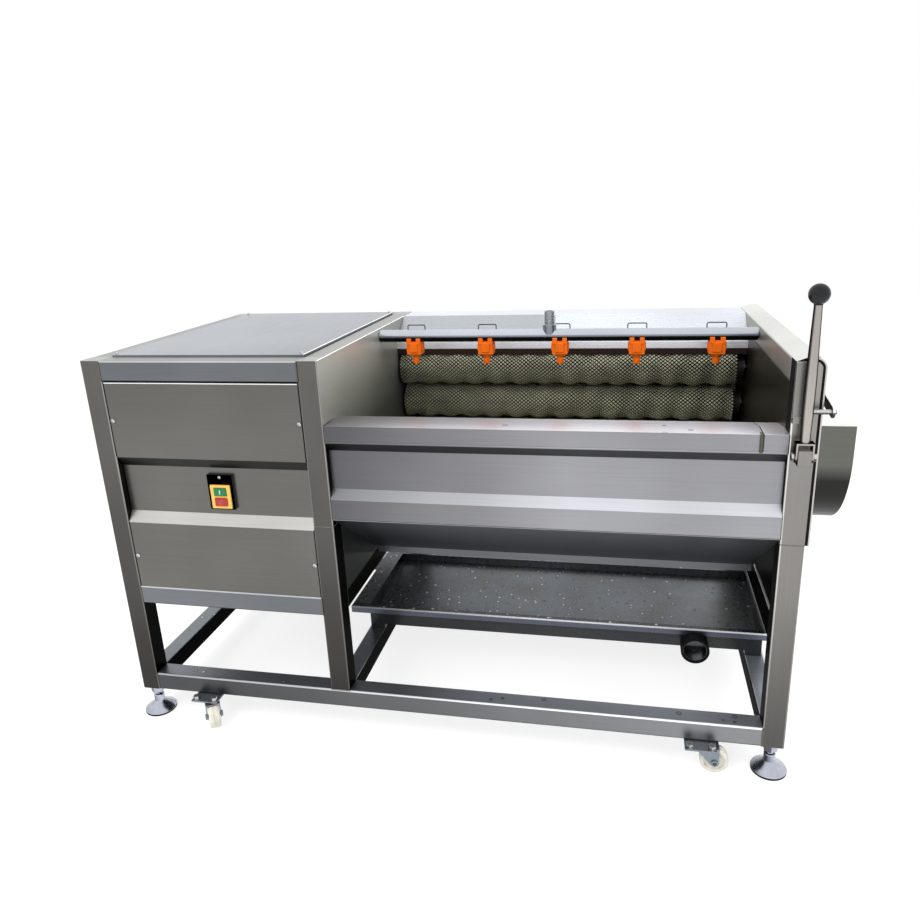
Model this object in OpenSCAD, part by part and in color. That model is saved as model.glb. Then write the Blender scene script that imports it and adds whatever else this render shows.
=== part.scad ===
// Roller vegetable washer: a tube frame with a drive cabinet at the left, a trough of nine brush
// rollers at the right, a spray pipe above them, a drip tray below and a gated discharge spout.
// Sizes are in millimetres. The origin is on the floor, under the middle of the overall box.

/* [Frame] */
// Side of the square frame tube
tube = 50; // [46:1:54]
// Wall of the frame tube
tube_wall = 2; // [1.5:0.1:4]
// Clear length of the drive cabinet between its posts
cabinet_len = 500; // [480:5:640]
// Clear length of the wash trough between its end posts
trough_len = 1000; // [900:10:1400]
// Depth of the frame over its posts
frame_depth = 800; // [795:1:880]
// Height of the frame over its posts
frame_h = 905; // [895:1:960]
// Height of the lower ends of the posts above the floor
foot_h = 80; // [80:1:95]
// Drop from the frame's top to the underside of the cabinet's lower rails
cabinet_drop = 642; // [620:1:680]
// Radius of the rounded upper edge at the discharge end
edge_r = 15; // [10:1:20]

/* [Trough] */
// Thickness of the folded sheets
sheet = 2; // [1:0.1:3]
// Drop from the frame's top to the top of the front rail
front_drop = 150; // [120:1:170]
// Height of the front rail's face
rail_face_h = 42; // [30:1:50]
// Depth of the front rail's flat band
rail_flat = 60; // [40:1:80]
// Depth of the front rail over both its bands
rail_depth = 132; // [110:1:140]
// Fall of the front rail's sloped band
rail_fall = 12; // [5:1:20]
// Height of the front rail's inner lip
rail_lip = 23; // [10:1:26]
// Length of the rail's separate end block
rail_block = 48; // [30:1:70]
// Gap between the rail and its end block
rail_block_gap = 2; // [1:0.5:6]
// Depth of the panels' folded recess
recess = 18; // [10:1:22]
// Height of each slanted strip of the trough panels
fold_h = 21; // [15:1:26]
// Height of the recessed face of the trough panels
recess_h = 96; // [80:1:100]
// Height of the trough panels' lower face
lower_face_h = 50; // [40:1:55]
// Width of the flat flange along the rear top
rear_flange = 105; // [90:1:120]
// Depth of the rear guard's slope towards the rollers
guard_depth = 90; // [70:1:95]
// Fall of the rear guard's slope
guard_fall = 66; // [50:1:70]
// Height of the rear guard's lip
guard_lip = 20; // [10:1:24]
// Width of the hopper's outlet
outlet_w = 200; // [160:1:240]
// Height of the lip round the hopper's outlet
outlet_lip = 20; // [10:1:30]
// Thickness of the end walls that carry the bearings
end_wall = 6; // [4:0.5:10]

/* [Brush rollers] */
// Number of brush rollers round the cradle
roller_count = 9; // [9:1:9]
// Radius of the circle that the roller axes lie on
cradle_r = 265; // [262:1:268]
// Drop from the frame's top to the centre of that circle
cradle_drop = 262; // [255:1:268]
// Angle of the rear roller above the horizontal
first_angle = 26.5; // [24:0.5:28]
// Diameter of a brush over its bristles
brush_d = 108; // [100:1:110]
// Gap between neighbouring brushes
brush_gap = 5.2; // [4:0.1:8]
// Gap between the brushes and the hopper sheets
hopper_gap = 4.7; // [3:0.1:8]
// Diameter of the brush core
core_d = 62; // [50:1:70]
// Diameter of the roller shafts
shaft_d = 25; // [20:1:30]
// Gap between a brush core and each end wall
core_end_gap = 6; // [3:1:12]
// Rings of bristle tufts along a roller
tuft_rings = 12; // [10:1:13]
// Tufts in a ring
tufts_per_ring = 4; // [4:1:4]
// Side of a square tuft
tuft_w = 7; // [4:0.5:9]

/* [Drive] */
// Thickness of a flange bearing
bearing_l = 25; // [18:1:26]
// Diameter of a bearing's flange
bearing_flange_d = 72; // [64:1:78]
// Thickness of a bearing's flange
bearing_flange_l = 11; // [8:1:14]
// Diameter of a bearing's nose
bearing_nose_d = 50; // [44:1:56]
// Number of sprocket teeth
teeth = 17; // [15:1:18]
// Tip radius of the sprockets
sprocket_r = 34; // [30:1:36]
// Height of the sprocket teeth
tooth_h = 5; // [3:0.5:6]
// Width of a sprocket and of its chain
sprocket_w = 8; // [6:0.5:10]
// Gap between the two sprocket rows
row_gap = 6; // [5:0.5:8]
// Thickness of a chain band
chain_t = 7; // [5:0.5:9]
// Distance of the gearmotor shaft in front of the cradle centre
motor_dy = 70; // [50:1:90]
// Distance of the gearmotor shaft below the cradle centre
motor_dz = 83; // [70:1:95]
// Diameter of the gearmotor's output shaft
output_d = 30; // [24:1:34]
// Length of the gearbox
gearbox_l = 140; // [120:1:160]
// Width of the gearbox
gearbox_w = 160; // [140:1:170]
// Height of the gearbox
gearbox_h = 180; // [160:1:190]
// Diameter of the motor
motor_d = 150; // [120:1:158]
// Length of the motor
motor_l = 230; // [180:5:240]

/* [Cabinet] */
// Gap round the front panel and the top cover
panel_gap = 2; // [1:0.5:3]
// Distance of the front panel behind the posts' faces
panel_set = 2; // [1:0.5:4]
// Drop from the cabinet opening's top to the panel's recess
panel_upper_h = 190; // [170:1:200]
// Height of each slanted strip of the front panel
panel_fold_h = 26; // [18:1:30]
// Height of the recessed band of the front panel
panel_recess_h = 121; // [110:1:130]
// Distance of the panel screws from the posts
screw_inset = 9; // [8:0.5:12]
// Drop of the upper panel screws below the opening's top
screw_drop = 98; // [80:1:110]
// Rise of the lower panel screws above the opening's bottom
screw_rise = 86; // [70:1:100]
// Shank diameter of the panel screws
screw_d = 5; // [4:0.5:6]
// Head diameter of the panel screws
screw_head_d = 12; // [10:0.5:14]
// Height of the panel screws' domed heads
screw_head_h = 4; // [3:0.5:5]
// Thickness of the tabs that the panel is screwed to
tab_t = 3; // [2:0.5:5]
// Width of those tabs
tab_w = 22; // [20:1:30]
// Height of the top cover above the rails
cover_rise = 5; // [3:1:8]
// Depth of the top cover's rim
cover_rim = 15; // [12:1:20]
// Side of the ledges that the top cover sits on
ledge = 22; // [18:1:30]
// Diameter of the cable gland's cap
gland_d = 20; // [18:1:24]
// Width of the cable gland's hexagon over its corners
gland_hex_d = 26; // [24:1:30]
// Diameter of the cable gland's thread
gland_thread_d = 14; // [12:1:16]
// Diameter of the cable that the gland takes
gland_bore_d = 10; // [8:1:11]
// Length of the cable gland outside the panel
gland_l = 34; // [28:1:40]
// Length of the cable gland inside the panel
gland_in_l = 8; // [6:1:12]
// Height of the cable gland above the cabinet's floor
gland_rise = 70; // [60:1:90]

/* [Switch] */
// Width of the switch plate
switch_w = 66; // [60:1:72]
// Height of the switch plate
switch_h = 90; // [84:1:98]
// Thickness of the switch plate
switch_t = 8; // [6:0.5:10]
// Distance of the switch's centre line from the left post
switch_x = 263; // [200:1:300]
// Depth of the switch box behind the panel
switch_box = 46; // [30:1:60]
// Width of the switch box
switch_box_w = 50; // [46:1:54]
// Height of the switch box
switch_box_h = 66; // [62:1:72]
// Clearance of the switch box in the panel's cut-out
switch_clear = 0.5; // [0.3:0.1:1]
// Width of the frame round the buttons
bezel_w = 52; // [50:1:56]
// Height of the frame round the buttons
bezel_h = 60; // [58:1:64]
// Thickness of the frame round the buttons
bezel_t = 4; // [3:0.5:5]
// Width of both buttons
button_w = 32; // [24:1:36]
// Height of both buttons
button_h = 20; // [16:1:22]
// Pitch of the two buttons
button_pitch = 26; // [24:1:28]
// Depth of a button behind the plate's face
button_depth = 5; // [4:0.5:5]
// How far the buttons stand out of their frame
button_proud = 3; // [2.8:0.1:5]
// Travel of the buttons
button_travel = 2.5; // [1.5:0.1:2.6]
// Clearance round the buttons
button_clear = 0.4; // [0.3:0.1:0.8]

/* [Spray] */
// Diameter of the spray pipe
pipe_d = 25; // [22:1:28]
// Wall of the spray pipe and the inlet
pipe_wall = 2.5; // [1.5:0.5:3]
// Distance of the spray pipe behind the cradle centre
pipe_dy = 55; // [40:1:70]
// Drop from the frame's top to the spray pipe's axis
pipe_drop = 17; // [14:1:20]
// Number of spray nozzles
nozzle_count = 5; // [5:1:5]
// Outer diameter of the water inlet, a three-quarter-inch pipe thread
inlet_d = 26.4; // [20:0.1:33]
// Height of the water inlet above the pipe's axis
inlet_h = 60; // [50:1:90]
// Diameter of the inlet's collar
inlet_collar_d = 36; // [34:1:44]
// Distance of the inlet before the middle of the pipe
inlet_dx = 28; // [26:1:60]
// Length of a nozzle along the pipe
nozzle_l = 40; // [36:1:44]
// Thickness of a nozzle's saddle round the pipe
saddle_t = 6; // [4:0.5:8]
// Depth of a nozzle's body below the pipe's axis
nozzle_body = 53; // [45:1:60]
// Diameter of a nozzle's spout
spout_d = 18; // [14:1:22]
// Length of a nozzle's spout
spout_l = 26; // [20:1:32]
// Diameter of the bail wire
wire_d = 3; // [2.5:0.1:3.5]
// Width of a bail
bail_w = 52; // [48:1:58]
// Height of a bail above its hinge
bail_h = 32; // [28:1:50]

/* [Discharge] */
// Width of the discharge opening
discharge_w = 200; // [160:1:204]
// Height of the discharge opening
discharge_h = 170; // [140:1:174]
// Height of the opening's sill above the lowest brushes' upper side
discharge_sill = 18; // [16:1:30]
// Wall of the duct through the bearing box
duct_wall = 2; // [1.5:0.5:3]
// Lap of the plates above and below the opening past its sides
plate_lap = 4; // [3:0.5:6]
// Seam between the plates round the opening
plate_seam = 0.2; // [0.1:0.05:0.4]
// Thickness of the end gasket
gasket_t = 5; // [3:0.5:6]
// Width of the end gasket's side strips
gasket_w = 40; // [30:1:46]
// Thickness of the end cover
cover_t = 3; // [2:0.5:4]
// Lap of the end cover over the frame's top
cover_lap = 10; // [5:1:20]
// Depth of the bearing box below the frame's top
box_drop = 393; // [385:1:400]
// Thickness of the gate plate
gate_t = 3; // [2:0.5:4]
// Gap between the gate and the end cover
gate_gap = 1.5; // [1:0.1:2.5]
// Overlap of the gate round the opening
gate_lap = 10; // [8:1:12]
// Height of the gate's pivot above the opening
gate_rise = 150; // [145:1:155]
// Diameter of the gate's pivot
gate_pin_d = 16; // [12:1:20]
// Diameter of the gate's hub
gate_hub_d = 44; // [36:1:50]
// Length of the gate's hub
gate_hub_l = 7; // [6:0.5:8]
// Width of the collar's rim round the gate's pivot
collar_rim = 5; // [4:0.5:8]
// Thickness of the collar that keeps the gate on its pivot
collar_t = 4; // [3:0.5:5]
// Throw of the gate's crank and of the lever below its link pin
crank = 94; // [80:1:100]
// Diameter of the link pins
link_pin_d = 10; // [8:1:12]
// Width of the link bar
link_w = 24; // [20:1:28]
// Thickness of the link bar
link_t = 5; // [4:0.5:8]
// Length of the link pins past the link
link_pin_end = 4; // [2:0.5:6]
// Play of the link on the lever's pin
link_play = 0.3; // [0.2:0.1:0.5]
// Inner radius of the spout
spout_r = 205; // [200:1:210]
// Height of the spout's lid above the cradle centre
spout_lid = 77; // [60:1:85]
// Distance of the spout's mouth from the frame's end
spout_end = 130; // [110:1:180]
// Length of the stand-offs behind the spout's flange
standoff_l = 9; // [8.5:0.5:12]
// Diameter of the stand-offs
standoff_d = 12; // [10:1:14]
// Height of the nuts on the stand-offs and on the lever's bolt
nut_h = 6; // [5:0.5:7]
// Diameter of the end cover's bolt heads
cover_bolt_d = 13; // [11:0.5:15]
// Height of the end cover's bolt heads
cover_bolt_h = 5; // [4:0.5:6]
// Width of the spout's flange
flange_w = 38; // [37:1:42]

/* [Lever] */
// Distance of the lever's pivot in front of the posts
lever_dy = 20; // [18:1:24]
// Drop from the frame's top to the lever's pivot
lever_drop = 190; // [180:1:200]
// Width of the lug on the post
lug_w = 26; // [20:1:30]
// Depth of the lug in front of the post
lug_d = 34; // [32:1:36]
// Height of the lug
lug_h = 32; // [28:1:34]
// Side play of the lever's strap on the lug
strap_play = 0.5; // [0.3:0.1:1]
// Thickness of the lever's strap
strap_t = 4; // [3:0.5:5]
// Width of the lever's strap
strap_w = 24; // [20:1:26]
// Distance of the strap's bridge from the pivot
strap_rise = 27; // [27:1:34]
// Diameter of the pivot bolt
bolt_d = 10; // [8:1:12]
// Diameter of the lever's rod
rod_d = 17; // [14:1:18]
// Length of the lever from its pivot to the knob's centre
lever_l = 322; // [260:1:340]
// Diameter of the ball knob
knob_d = 40; // [34:1:46]
// Width of the stop tab on the post
stop_w = 24; // [18:1:24]
// Height of the stop tab above the pivot
stop_rise = 66; // [56:1:72]
// Height of the stop tab
stop_h = 13; // [8:1:18]

/* [Tray] */
// Overlap of the tray on the cross rails at each end
tray_lap = 42; // [30:1:46]
// Width of the tray's side flanges
tray_side = 50; // [30:1:60]
// Width of the tray's front and rear flanges
tray_edge = 15; // [10:1:20]
// Distance of the tray's front wall behind the posts' faces
tray_front = 300; // [280:1:310]
// Depth of the tray between its walls
tray_depth = 340; // [300:1:380]
// Height of the tray's front pads
tray_pad_h = 15; // [10:1:20]
// Depth of the tray's pads
tray_pad_d = 30; // [20:1:40]
// Height of the tray's front wall
tray_wall_h = 62; // [55:1:70]
// Rise of the tray's floor from front to rear
tray_fall = 38; // [25:1:42]
// Height of the tray's front lip
tray_lip = 20; // [15:1:25]
// Outer diameter of the drain pipe
drain_d = 63; // [60:1:66]
// Wall of the drain pipe
drain_wall = 3; // [2:0.5:4]
// Length of the drain pipe
drain_l = 50; // [40:1:60]
// Thickness of the collar that joins the drain pipe to the tray
drain_collar = 4; // [3:0.5:6]
// Distance of the drain from the discharge end post
drain_x = 132; // [110:1:200]

/* [Feet and casters] */
// Diameter of a foot's pad
foot_d = 82; // [70:1:86]
// Height of a foot's dark rim
foot_rim = 6; // [4:1:8]
// Height of a foot's cone
foot_cone = 30; // [26:1:34]
// Height of the hexagons on a foot's stem
foot_hex_h = 12; // [10:1:14]
// Diameter of a foot's hub
foot_hub_d = 24; // [20:1:28]
// Diameter of a foot's stem
stem_d = 16; // [12:1:18]
// Length of a foot's stem inside the post
stem_in = 36; // [20:1:50]
// Thickness of the plate in a post's lower end
post_plate = 8; // [6:1:12]
// Side of a caster's plate
caster_plate = 72; // [66:1:76]
// Thickness of a caster's plate
caster_plate_t = 4; // [3:0.5:4]
// Distance of the caster plates' centres behind the posts' faces
caster_y = 2; // [0:1:8]
// Distance of the left casters from the left post
caster_left = 150; // [110:1:220]
// Distance of the right casters from the right post
caster_right = 137; // [110:1:220]
// Angle that the front left caster is swung to; the rear left one mirrors it
caster_swing = -55; // [-180:1:180]
// Trail of the casters
caster_trail = 34; // [32:1:38]
// Diameter of a caster's wheel
wheel_d = 66; // [60:1:66]
// Width of a caster's wheel
wheel_w = 28; // [24:1:32]
// Height of the wheels above the floor while the machine stands on its feet
wheel_lift = 2; // [2:0.5:3]
// Diameter of the casters' axles and kingpins
axle_d = 10; // [8:1:12]
// Thickness of the fork's sheet
fork_t = 3; // [2.5:0.5:3.5]
// Side clearance of a wheel in its fork
wheel_play = 1.5; // [1:0.5:3]

/* [Hidden] */
$fn = 64;
// Radial clearance of every running fit
run = 0.05;
// Clearance between parts that pass each other
clear = 0.3;

// Places along the machine
x_mid = tube + cabinet_len;
x_in = x_mid + tube;
x_out = x_in + trough_len;
x_end = x_out + tube;
y_back = frame_depth - tube;
z_base = foot_h;
z_top = foot_h + frame_h;
z_deck = z_base + tube;
z_cab = z_top - cabinet_drop;
z_floor = z_cab + tube;
z_rail = z_top - tube;

// The roller cradle
y_mid = frame_depth / 2;
z_mid = z_top - cradle_drop;
step_angle = 2 * asin((brush_d + brush_gap) / 2 / cradle_r);
function roller_at(k) =
    let (a = first_angle - (k - 1) * step_angle)
    [y_mid + cradle_r * cos(a), z_mid + cradle_r * sin(a)];

// The trough's front panel and hopper
z_rail_top = z_top - front_drop;
z_rail_low = z_rail_top - rail_face_h;
z_seam = z_rail_low + 2 * sheet;
z_fold_1 = z_rail_low - fold_h;
z_fold_2 = z_fold_1 - recess_h;
z_fold_3 = z_fold_2 - fold_h;
z_hopper = z_fold_3 - lower_face_h;
y_outlet = y_mid - outlet_w / 2;
hopper_reach = cradle_r + brush_d / 2 + hopper_gap;
hopper_angle = atan2(z_mid - z_hopper, y_mid) - asin(hopper_reach / norm([y_mid, z_mid - z_hopper]));
z_outlet = z_hopper + tan(hopper_angle) * y_outlet;

// The drive
x_wall = x_in - end_wall;
x_row_a = x_wall - bearing_l - row_gap - sprocket_w;
x_row_b = x_row_a - row_gap - sprocket_w;
y_motor = y_mid - motor_dy;
z_motor = z_mid - motor_dz;
x_gearbox = x_row_b - 2 * row_gap - gearbox_l;
core_x0 = x_in + core_end_gap;
core_x1 = x_out - core_end_gap;

// The cabinet's front panel and switch
z_open = z_rail;
z_panel_1 = z_open - panel_upper_h;
z_panel_2 = z_panel_1 - panel_fold_h;
z_panel_3 = z_panel_2 - panel_recess_h;
z_panel_4 = z_panel_3 - panel_fold_h;
y_band = panel_set + recess;
y_tab = panel_set + sheet;
x_switch = tube + switch_x;
z_switch = (z_panel_2 + z_panel_3) / 2;
y_plate = y_band - switch_t;
y_bezel = y_plate - bezel_t;
z_bezel = z_switch - (switch_h - bezel_h) / 2 + 4;

// The spray pipe
y_pipe = y_mid + pipe_dy;
z_pipe = z_top - pipe_drop;
x_inlet = (x_in + x_out) / 2 - inlet_dx;
nozzle_pitch = trough_len / nozzle_count;
saddle_r = pipe_d / 2 + saddle_t;
y_hinge = y_pipe + saddle_r + wire_d;
z_hinge = z_pipe - pipe_d / 2 + wire_d;
function nozzle_x(k) = x_in + (k - 0.5) * nozzle_pitch;

// The discharge
z_sill = z_mid - cradle_r + brush_d / 2 + discharge_sill;
z_lintel = z_sill + discharge_h;
z_gate = z_lintel + gate_rise;
y_lever = -lever_dy;
z_lever = z_top - lever_drop;
x_cover = x_end + gasket_t;
x_skin = x_cover + cover_t;
x_gate = x_skin + gate_gap;
x_flange = x_skin + standoff_l;
x_mouth = x_end + spout_end;
x_link = x_gate + gate_hub_l + gate_gap;
x_lever = x_out + tube / 2;
gate_r = norm([discharge_w / 2, z_gate - z_sill]) + gate_lap;
z_box = z_top - box_drop;

// The tray
x_tray0 = x_in - tray_lap;
x_tray1 = x_out + tray_lap;
y_tray = tray_front + tray_depth;
z_tray = z_deck + tray_pad_h;
z_rim = z_tray + tray_wall_h;
z_drain = z_tray + drain_d / 2 - tray_pad_h + 2;

// Feet and casters
foot_places = [[tube / 2, tube / 2], [x_end - tube / 2, tube / 2],
               [tube / 2, frame_depth - tube / 2], [x_end - tube / 2, frame_depth - tube / 2]];
caster_places = [[tube + caster_left, caster_y, caster_swing], [x_out - caster_right, caster_y, 0],
                 [tube + caster_left, frame_depth - caster_y, -caster_swing],
                 [x_out - caster_right, frame_depth - caster_y, 0]];
wheel_z = wheel_lift + wheel_d / 2;
z_plate = z_base - caster_plate_t;
z_crown = wheel_lift + wheel_d + wheel_play;
fork_in = wheel_w + 2 * wheel_play;

// The overall box
x_low = min(0, tube / 2 - foot_d / 2);
x_shift = (x_low + x_mouth) / 2;
y_shift = y_mid;

// Colours
steel = [0.62, 0.61, 0.59];
bright = [0.8, 0.8, 0.8];
dark = [0.1, 0.1, 0.1];
olive = [0.48, 0.45, 0.3];
orange = [0.95, 0.42, 0.08];

FIXED_NODES = ["frame_posts", "base_rails", "upper_rails", "left_end_wall", "right_end_wall",
    "trough_front", "front_rail", "trough_rear", "hopper_sheets", "end_gasket", "end_cover", "chute",
    "fixings", "lever_bracket", "cabinet_front_panel", "cabinet_panels", "panel_screws", "switch_body",
    "cable_gland", "spray_pipe", "spray_nozzles", "shaft_bearings", "drive_chains", "gearmotor", "tray",
    "caster_plates"];
MOVING_NODES = ["gate", "gate_link", "gate_lever", "lever_knob", "top_cover", "start_button",
    "stop_button", "drive_sprocket"];

// Shared shapes

// Right-hand normal of the segment from a to b
function seg_normal(a, b) = [b.y - a.y, a.x - b.x] / norm(b - a);

// A path's point moved sideways by t, mitred where the path bends
function mitre(p, i, t) =
    let (before = seg_normal(p[max(i - 1, 0)], p[max(i, 1)]),
         after = seg_normal(p[min(i, len(p) - 2)], p[min(i + 1, len(p) - 1)]),
         s = before + after)
    p[i] + 2 * t * s / (s * s);

// A sheet of thickness t folded along a path, to the path's right
module folded(p, t) {
    polygon(concat(p, [for (i = [len(p) - 1:-1:0]) mitre(p, i, t)]));
}

// A profile drawn in Y and Z, run along X
module along_x(x0, x1) {
    translate([x0, 0, 0]) rotate([90, 0, 90]) linear_extrude(x1 - x0) children();
}

// A profile drawn in X and Z, run along Y
module along_y(y0, y1) {
    translate([0, y1, 0]) rotate([90, 0, 0]) linear_extrude(y1 - y0) children();
}

// A box between two corners
module block(low, high) {
    translate(low) cube(high - low);
}

// A cylinder along X from x0 to x1 at a point of the Y-Z plane
module rod_x(x0, x1, at, d) {
    translate([x0, at[0], at[1]]) rotate([0, 90, 0]) cylinder(h = x1 - x0, d = d);
}

// A square tube between two corners, open along one axis
module open_tube(low, high, axis) {
    w = [for (i = [0:2]) i == axis ? -1 : tube_wall];
    difference() {
        block(low, high);
        block(low + w, high - w);
    }
}

// What is cut off a bar's upper outer edge to round it
module edge_cut(y0, y1) {
    along_y(y0, y1) difference() {
        translate([x_end - edge_r, z_top - edge_r]) square(edge_r + 1);
        translate([x_end - edge_r, z_top - edge_r]) circle(r = edge_r);
    }
}

// Outline of the discharge end's top rail, with one rounded corner
module edge_outline(inset) {
    difference() {
        translate([x_out + inset, z_rail + inset]) square(tube - 2 * inset);
        difference() {
            translate([x_end - edge_r, z_top - edge_r]) square(edge_r + 1);
            translate([x_end - edge_r, z_top - edge_r]) circle(r = edge_r - inset);
        }
    }
}

// A sheet bent over the rounded end edge, at a distance from the frame
module end_wrap(out, t, z0) {
    translate([x_end + out, z0]) square([t, z_top - edge_r - z0]);
    intersection() {
        difference() {
            translate([x_end - edge_r, z_top - edge_r]) circle(r = edge_r + out + t);
            translate([x_end - edge_r, z_top - edge_r]) circle(r = edge_r + out);
        }
        translate([x_end - edge_r, z_top - edge_r]) square(edge_r + out + t);
    }
    translate([x_end - edge_r - cover_lap, z_top + out]) square([cover_lap, t]);
}

// Outline of a belt round two equal circles, its straight runs a hair inside the circles' tangents
module belt_outline(a, b, r) {
    d = b - a;
    half = r - clear / 2;
    translate(a) circle(r = r);
    translate(b) circle(r = r);
    translate(a) rotate(atan2(d.y, d.x)) translate([0, -half]) square([norm(d), 2 * half]);
}

// Outline of a toothed wheel
module toothed(r) {
    polygon([for (i = [0:4 * teeth - 1])
        let (a = 90 * i / teeth, q = (i % 4 < 2) ? r : r - tooth_h)
        [q * cos(a), q * sin(a)]]);
}

// Frame

// One upright, closed at the top; the corner posts hold a plate for the foot's stem
module post(x, y, z0, plated) {
    difference() {
        block([x, y, z0], [x + tube, y + tube, z_top]);
        block([x + tube_wall, y + tube_wall, plated ? z0 + post_plate : z0 - 1],
              [x + tube - tube_wall, y + tube - tube_wall, z_top - max(tube_wall, plated ? edge_r : 0)]);
        if (plated)
            translate([x + tube / 2, y + tube / 2, z0 - 1])
                cylinder(h = post_plate + 2, d = stem_d + 2 * run);
        if (x > x_mid)
            edge_cut(y - 1, y + tube + 1);
    }
}

// The tabs behind the front panel, welded to the posts
module panel_tab(x, z) {
    right = x > x_mid / 2;
    difference() {
        block([right ? x_mid - tab_w : tube, y_tab, z - tab_w / 2],
              [right ? x_mid : tube + tab_w, y_tab + tab_t, z + tab_w / 2]);
        translate([x, 0, z]) rotate([-90, 0, 0]) cylinder(h = tube, d = screw_d + 2 * run);
    }
}

screw_x = [tube + screw_inset, x_mid - screw_inset];
screw_z = [z_floor + screw_rise, z_open - screw_drop];

module frame_posts() {
    color(steel) {
        for (x = [0, x_out], y = [0, y_back])
            post(x, y, z_base, true);
        for (y = [0, y_back])
            post(x_mid, y, z_deck, false);
        for (x = screw_x, z = screw_z)
            panel_tab(x, z);
    }
}

module base_rails() {
    color(steel) {
        for (y = [0, y_back])
            open_tube([tube, y, z_base], [x_out, y + tube, z_deck], 0);
        for (x = [0, x_mid, x_out])
            open_tube([x, tube, z_base], [x + tube, y_back, z_deck], 1);
    }
}

module upper_rails() {
    color(steel) {
        for (z = [z_cab, z_rail]) {
            for (y = [0, y_back])
                open_tube([tube, y, z], [x_mid, y + tube, z + tube], 0);
            for (x = [0, x_mid])
                open_tube([x, tube, z], [x + tube, y_back, z + tube], 1);
        }
        along_y(tube, y_back) difference() {
            edge_outline(0);
            edge_outline(tube_wall);
        }
        for (x = [tube + panel_gap, x_mid - panel_gap - ledge], y = [tube, y_back - ledge])
            block([x, y, z_top + cover_rise - cover_rim - sheet],
                  [x + ledge, y + ledge, z_top + cover_rise - cover_rim]);
    }
}

// Trough

module shaft_holes(x0, x1) {
    for (k = [1:roller_count])
        rod_x(x0 - 1, x1 + 1, roller_at(k), shaft_d + 10);
}

module left_end_wall() {
    color(steel) difference() {
        block([x_wall, tube, z_floor], [x_in, y_back, z_rail]);
        shaft_holes(x_wall, x_in);
    }
}

module duct_outline(t) {
    translate([y_mid - discharge_w / 2 - t, z_sill - t]) square([discharge_w + 2 * t, discharge_h + 2 * t]);
}

// Seams from the opening's corners that part the plates beside it from those above and below
module plate_seams() {
    half = discharge_w / 2;
    seam_run = plate_lap + 2 * plate_seam;
    for (z = [z_sill - plate_seam, z_lintel]) {
        translate([y_mid - half - plate_lap - plate_seam, z]) square([seam_run, plate_seam]);
        translate([y_mid + half - plate_seam, z]) square([seam_run, plate_seam]);
    }
    for (y = [y_mid - half - plate_lap - plate_seam, y_mid + half + plate_lap]) {
        translate([y, z_base]) square([plate_seam, z_sill - z_base]);
        translate([y, z_lintel]) square([plate_seam, z_top]);
    }
}

// Two bearing plates with a sill and a lintel between them, each with its wall of the duct
module right_end_wall() {
    color(steel) difference() {
        union() {
            along_x(x_out, x_out + end_wall)
                polygon([[tube, z_rail], [tube, z_hopper], [y_outlet, z_outlet],
                         [frame_depth - y_outlet, z_outlet], [y_back, z_hopper], [y_back, z_rail]]);
            along_x(x_out + end_wall, x_cover) duct_outline(duct_wall);
        }
        shaft_holes(x_out, x_out + end_wall);
        along_x(x_out - 1, x_cover + 1) {
            duct_outline(0);
            plate_seams();
        }
    }
}

// The folded face shared by the trough's front and rear
function trough_fold(z) = [[0, z_hopper], [0, z_fold_3], [recess, z_fold_2], [recess, z_fold_1],
    [0, z_rail_low], [0, z]];

module trough_front() {
    color(steel) along_x(x_in, x_out) folded(trough_fold(z_seam), sheet);
}

function rail_path() = [[0, z_seam], [0, z_rail_top], [rail_flat, z_rail_top],
    [rail_depth, z_rail_top - rail_fall], [rail_depth, z_rail_top - rail_fall - rail_lip]];

module front_rail() {
    color(steel) {
        along_x(x_in, x_out - rail_block - rail_block_gap) folded(rail_path(), sheet);
        along_x(x_out - rail_block, x_out) folded(rail_path(), sheet);
    }
}

module trough_rear() {
    y_guard = frame_depth - rear_flange - guard_depth;
    path = concat([for (p = trough_fold(z_top)) [frame_depth - p[0], p[1]]],
        [[frame_depth - rear_flange, z_top], [y_guard, z_top - guard_fall],
         [y_guard, z_top - guard_fall - guard_lip]]);
    color(steel) along_x(x_in, x_out) folded(path, -sheet);
}

module hopper_half() {
    folded([[y_outlet, z_outlet - outlet_lip], [y_outlet, z_outlet], [0, z_hopper]], -sheet);
}

module hopper_sheets() {
    color(steel) along_x(x_in, x_out) {
        hopper_half();
        translate([frame_depth, 0]) mirror([1, 0]) hopper_half();
    }
}

// Brush rollers

// One tuft row round the core: square tufts, each sunk into the core it stands on
module tufts(k) {
    pitch = (core_x1 - core_x0) / tuft_rings;
    root = core_d / 2 - 3;
    tip = sqrt(pow(brush_d / 2, 2) - pow(tuft_w / 2, 2));
    for (i = [0:tuft_rings - 1], j = [0:tufts_per_ring - 1])
        translate([core_x0 + (i + 0.5) * pitch, roller_at(k)[0], roller_at(k)[1]])
            rotate([360 / tufts_per_ring * (j + (i % 2) / 2), 0, 0])
                translate([-tuft_w / 2, -tuft_w / 2, root]) cube([tuft_w, tuft_w, tip - root]);
}

// Shaft with its two sprockets, and the brush: a core with its tufts
module roller(k) {
    at = roller_at(k);
    color(bright) {
        rod_x(x_row_b - row_gap, x_out + end_wall + bearing_l + row_gap, at, shaft_d);
        for (x = [x_row_a, x_row_b])
            translate([0, at[0], at[1]]) along_x(x, x + sprocket_w) toothed(sprocket_r);
    }
    color(olive) difference() {
        union() {
            rod_x(core_x0, core_x1, at, core_d);
            tufts(k);
        }
        rod_x(core_x0 - 1, core_x1 + 1, at, shaft_d);
    }
}

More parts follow.
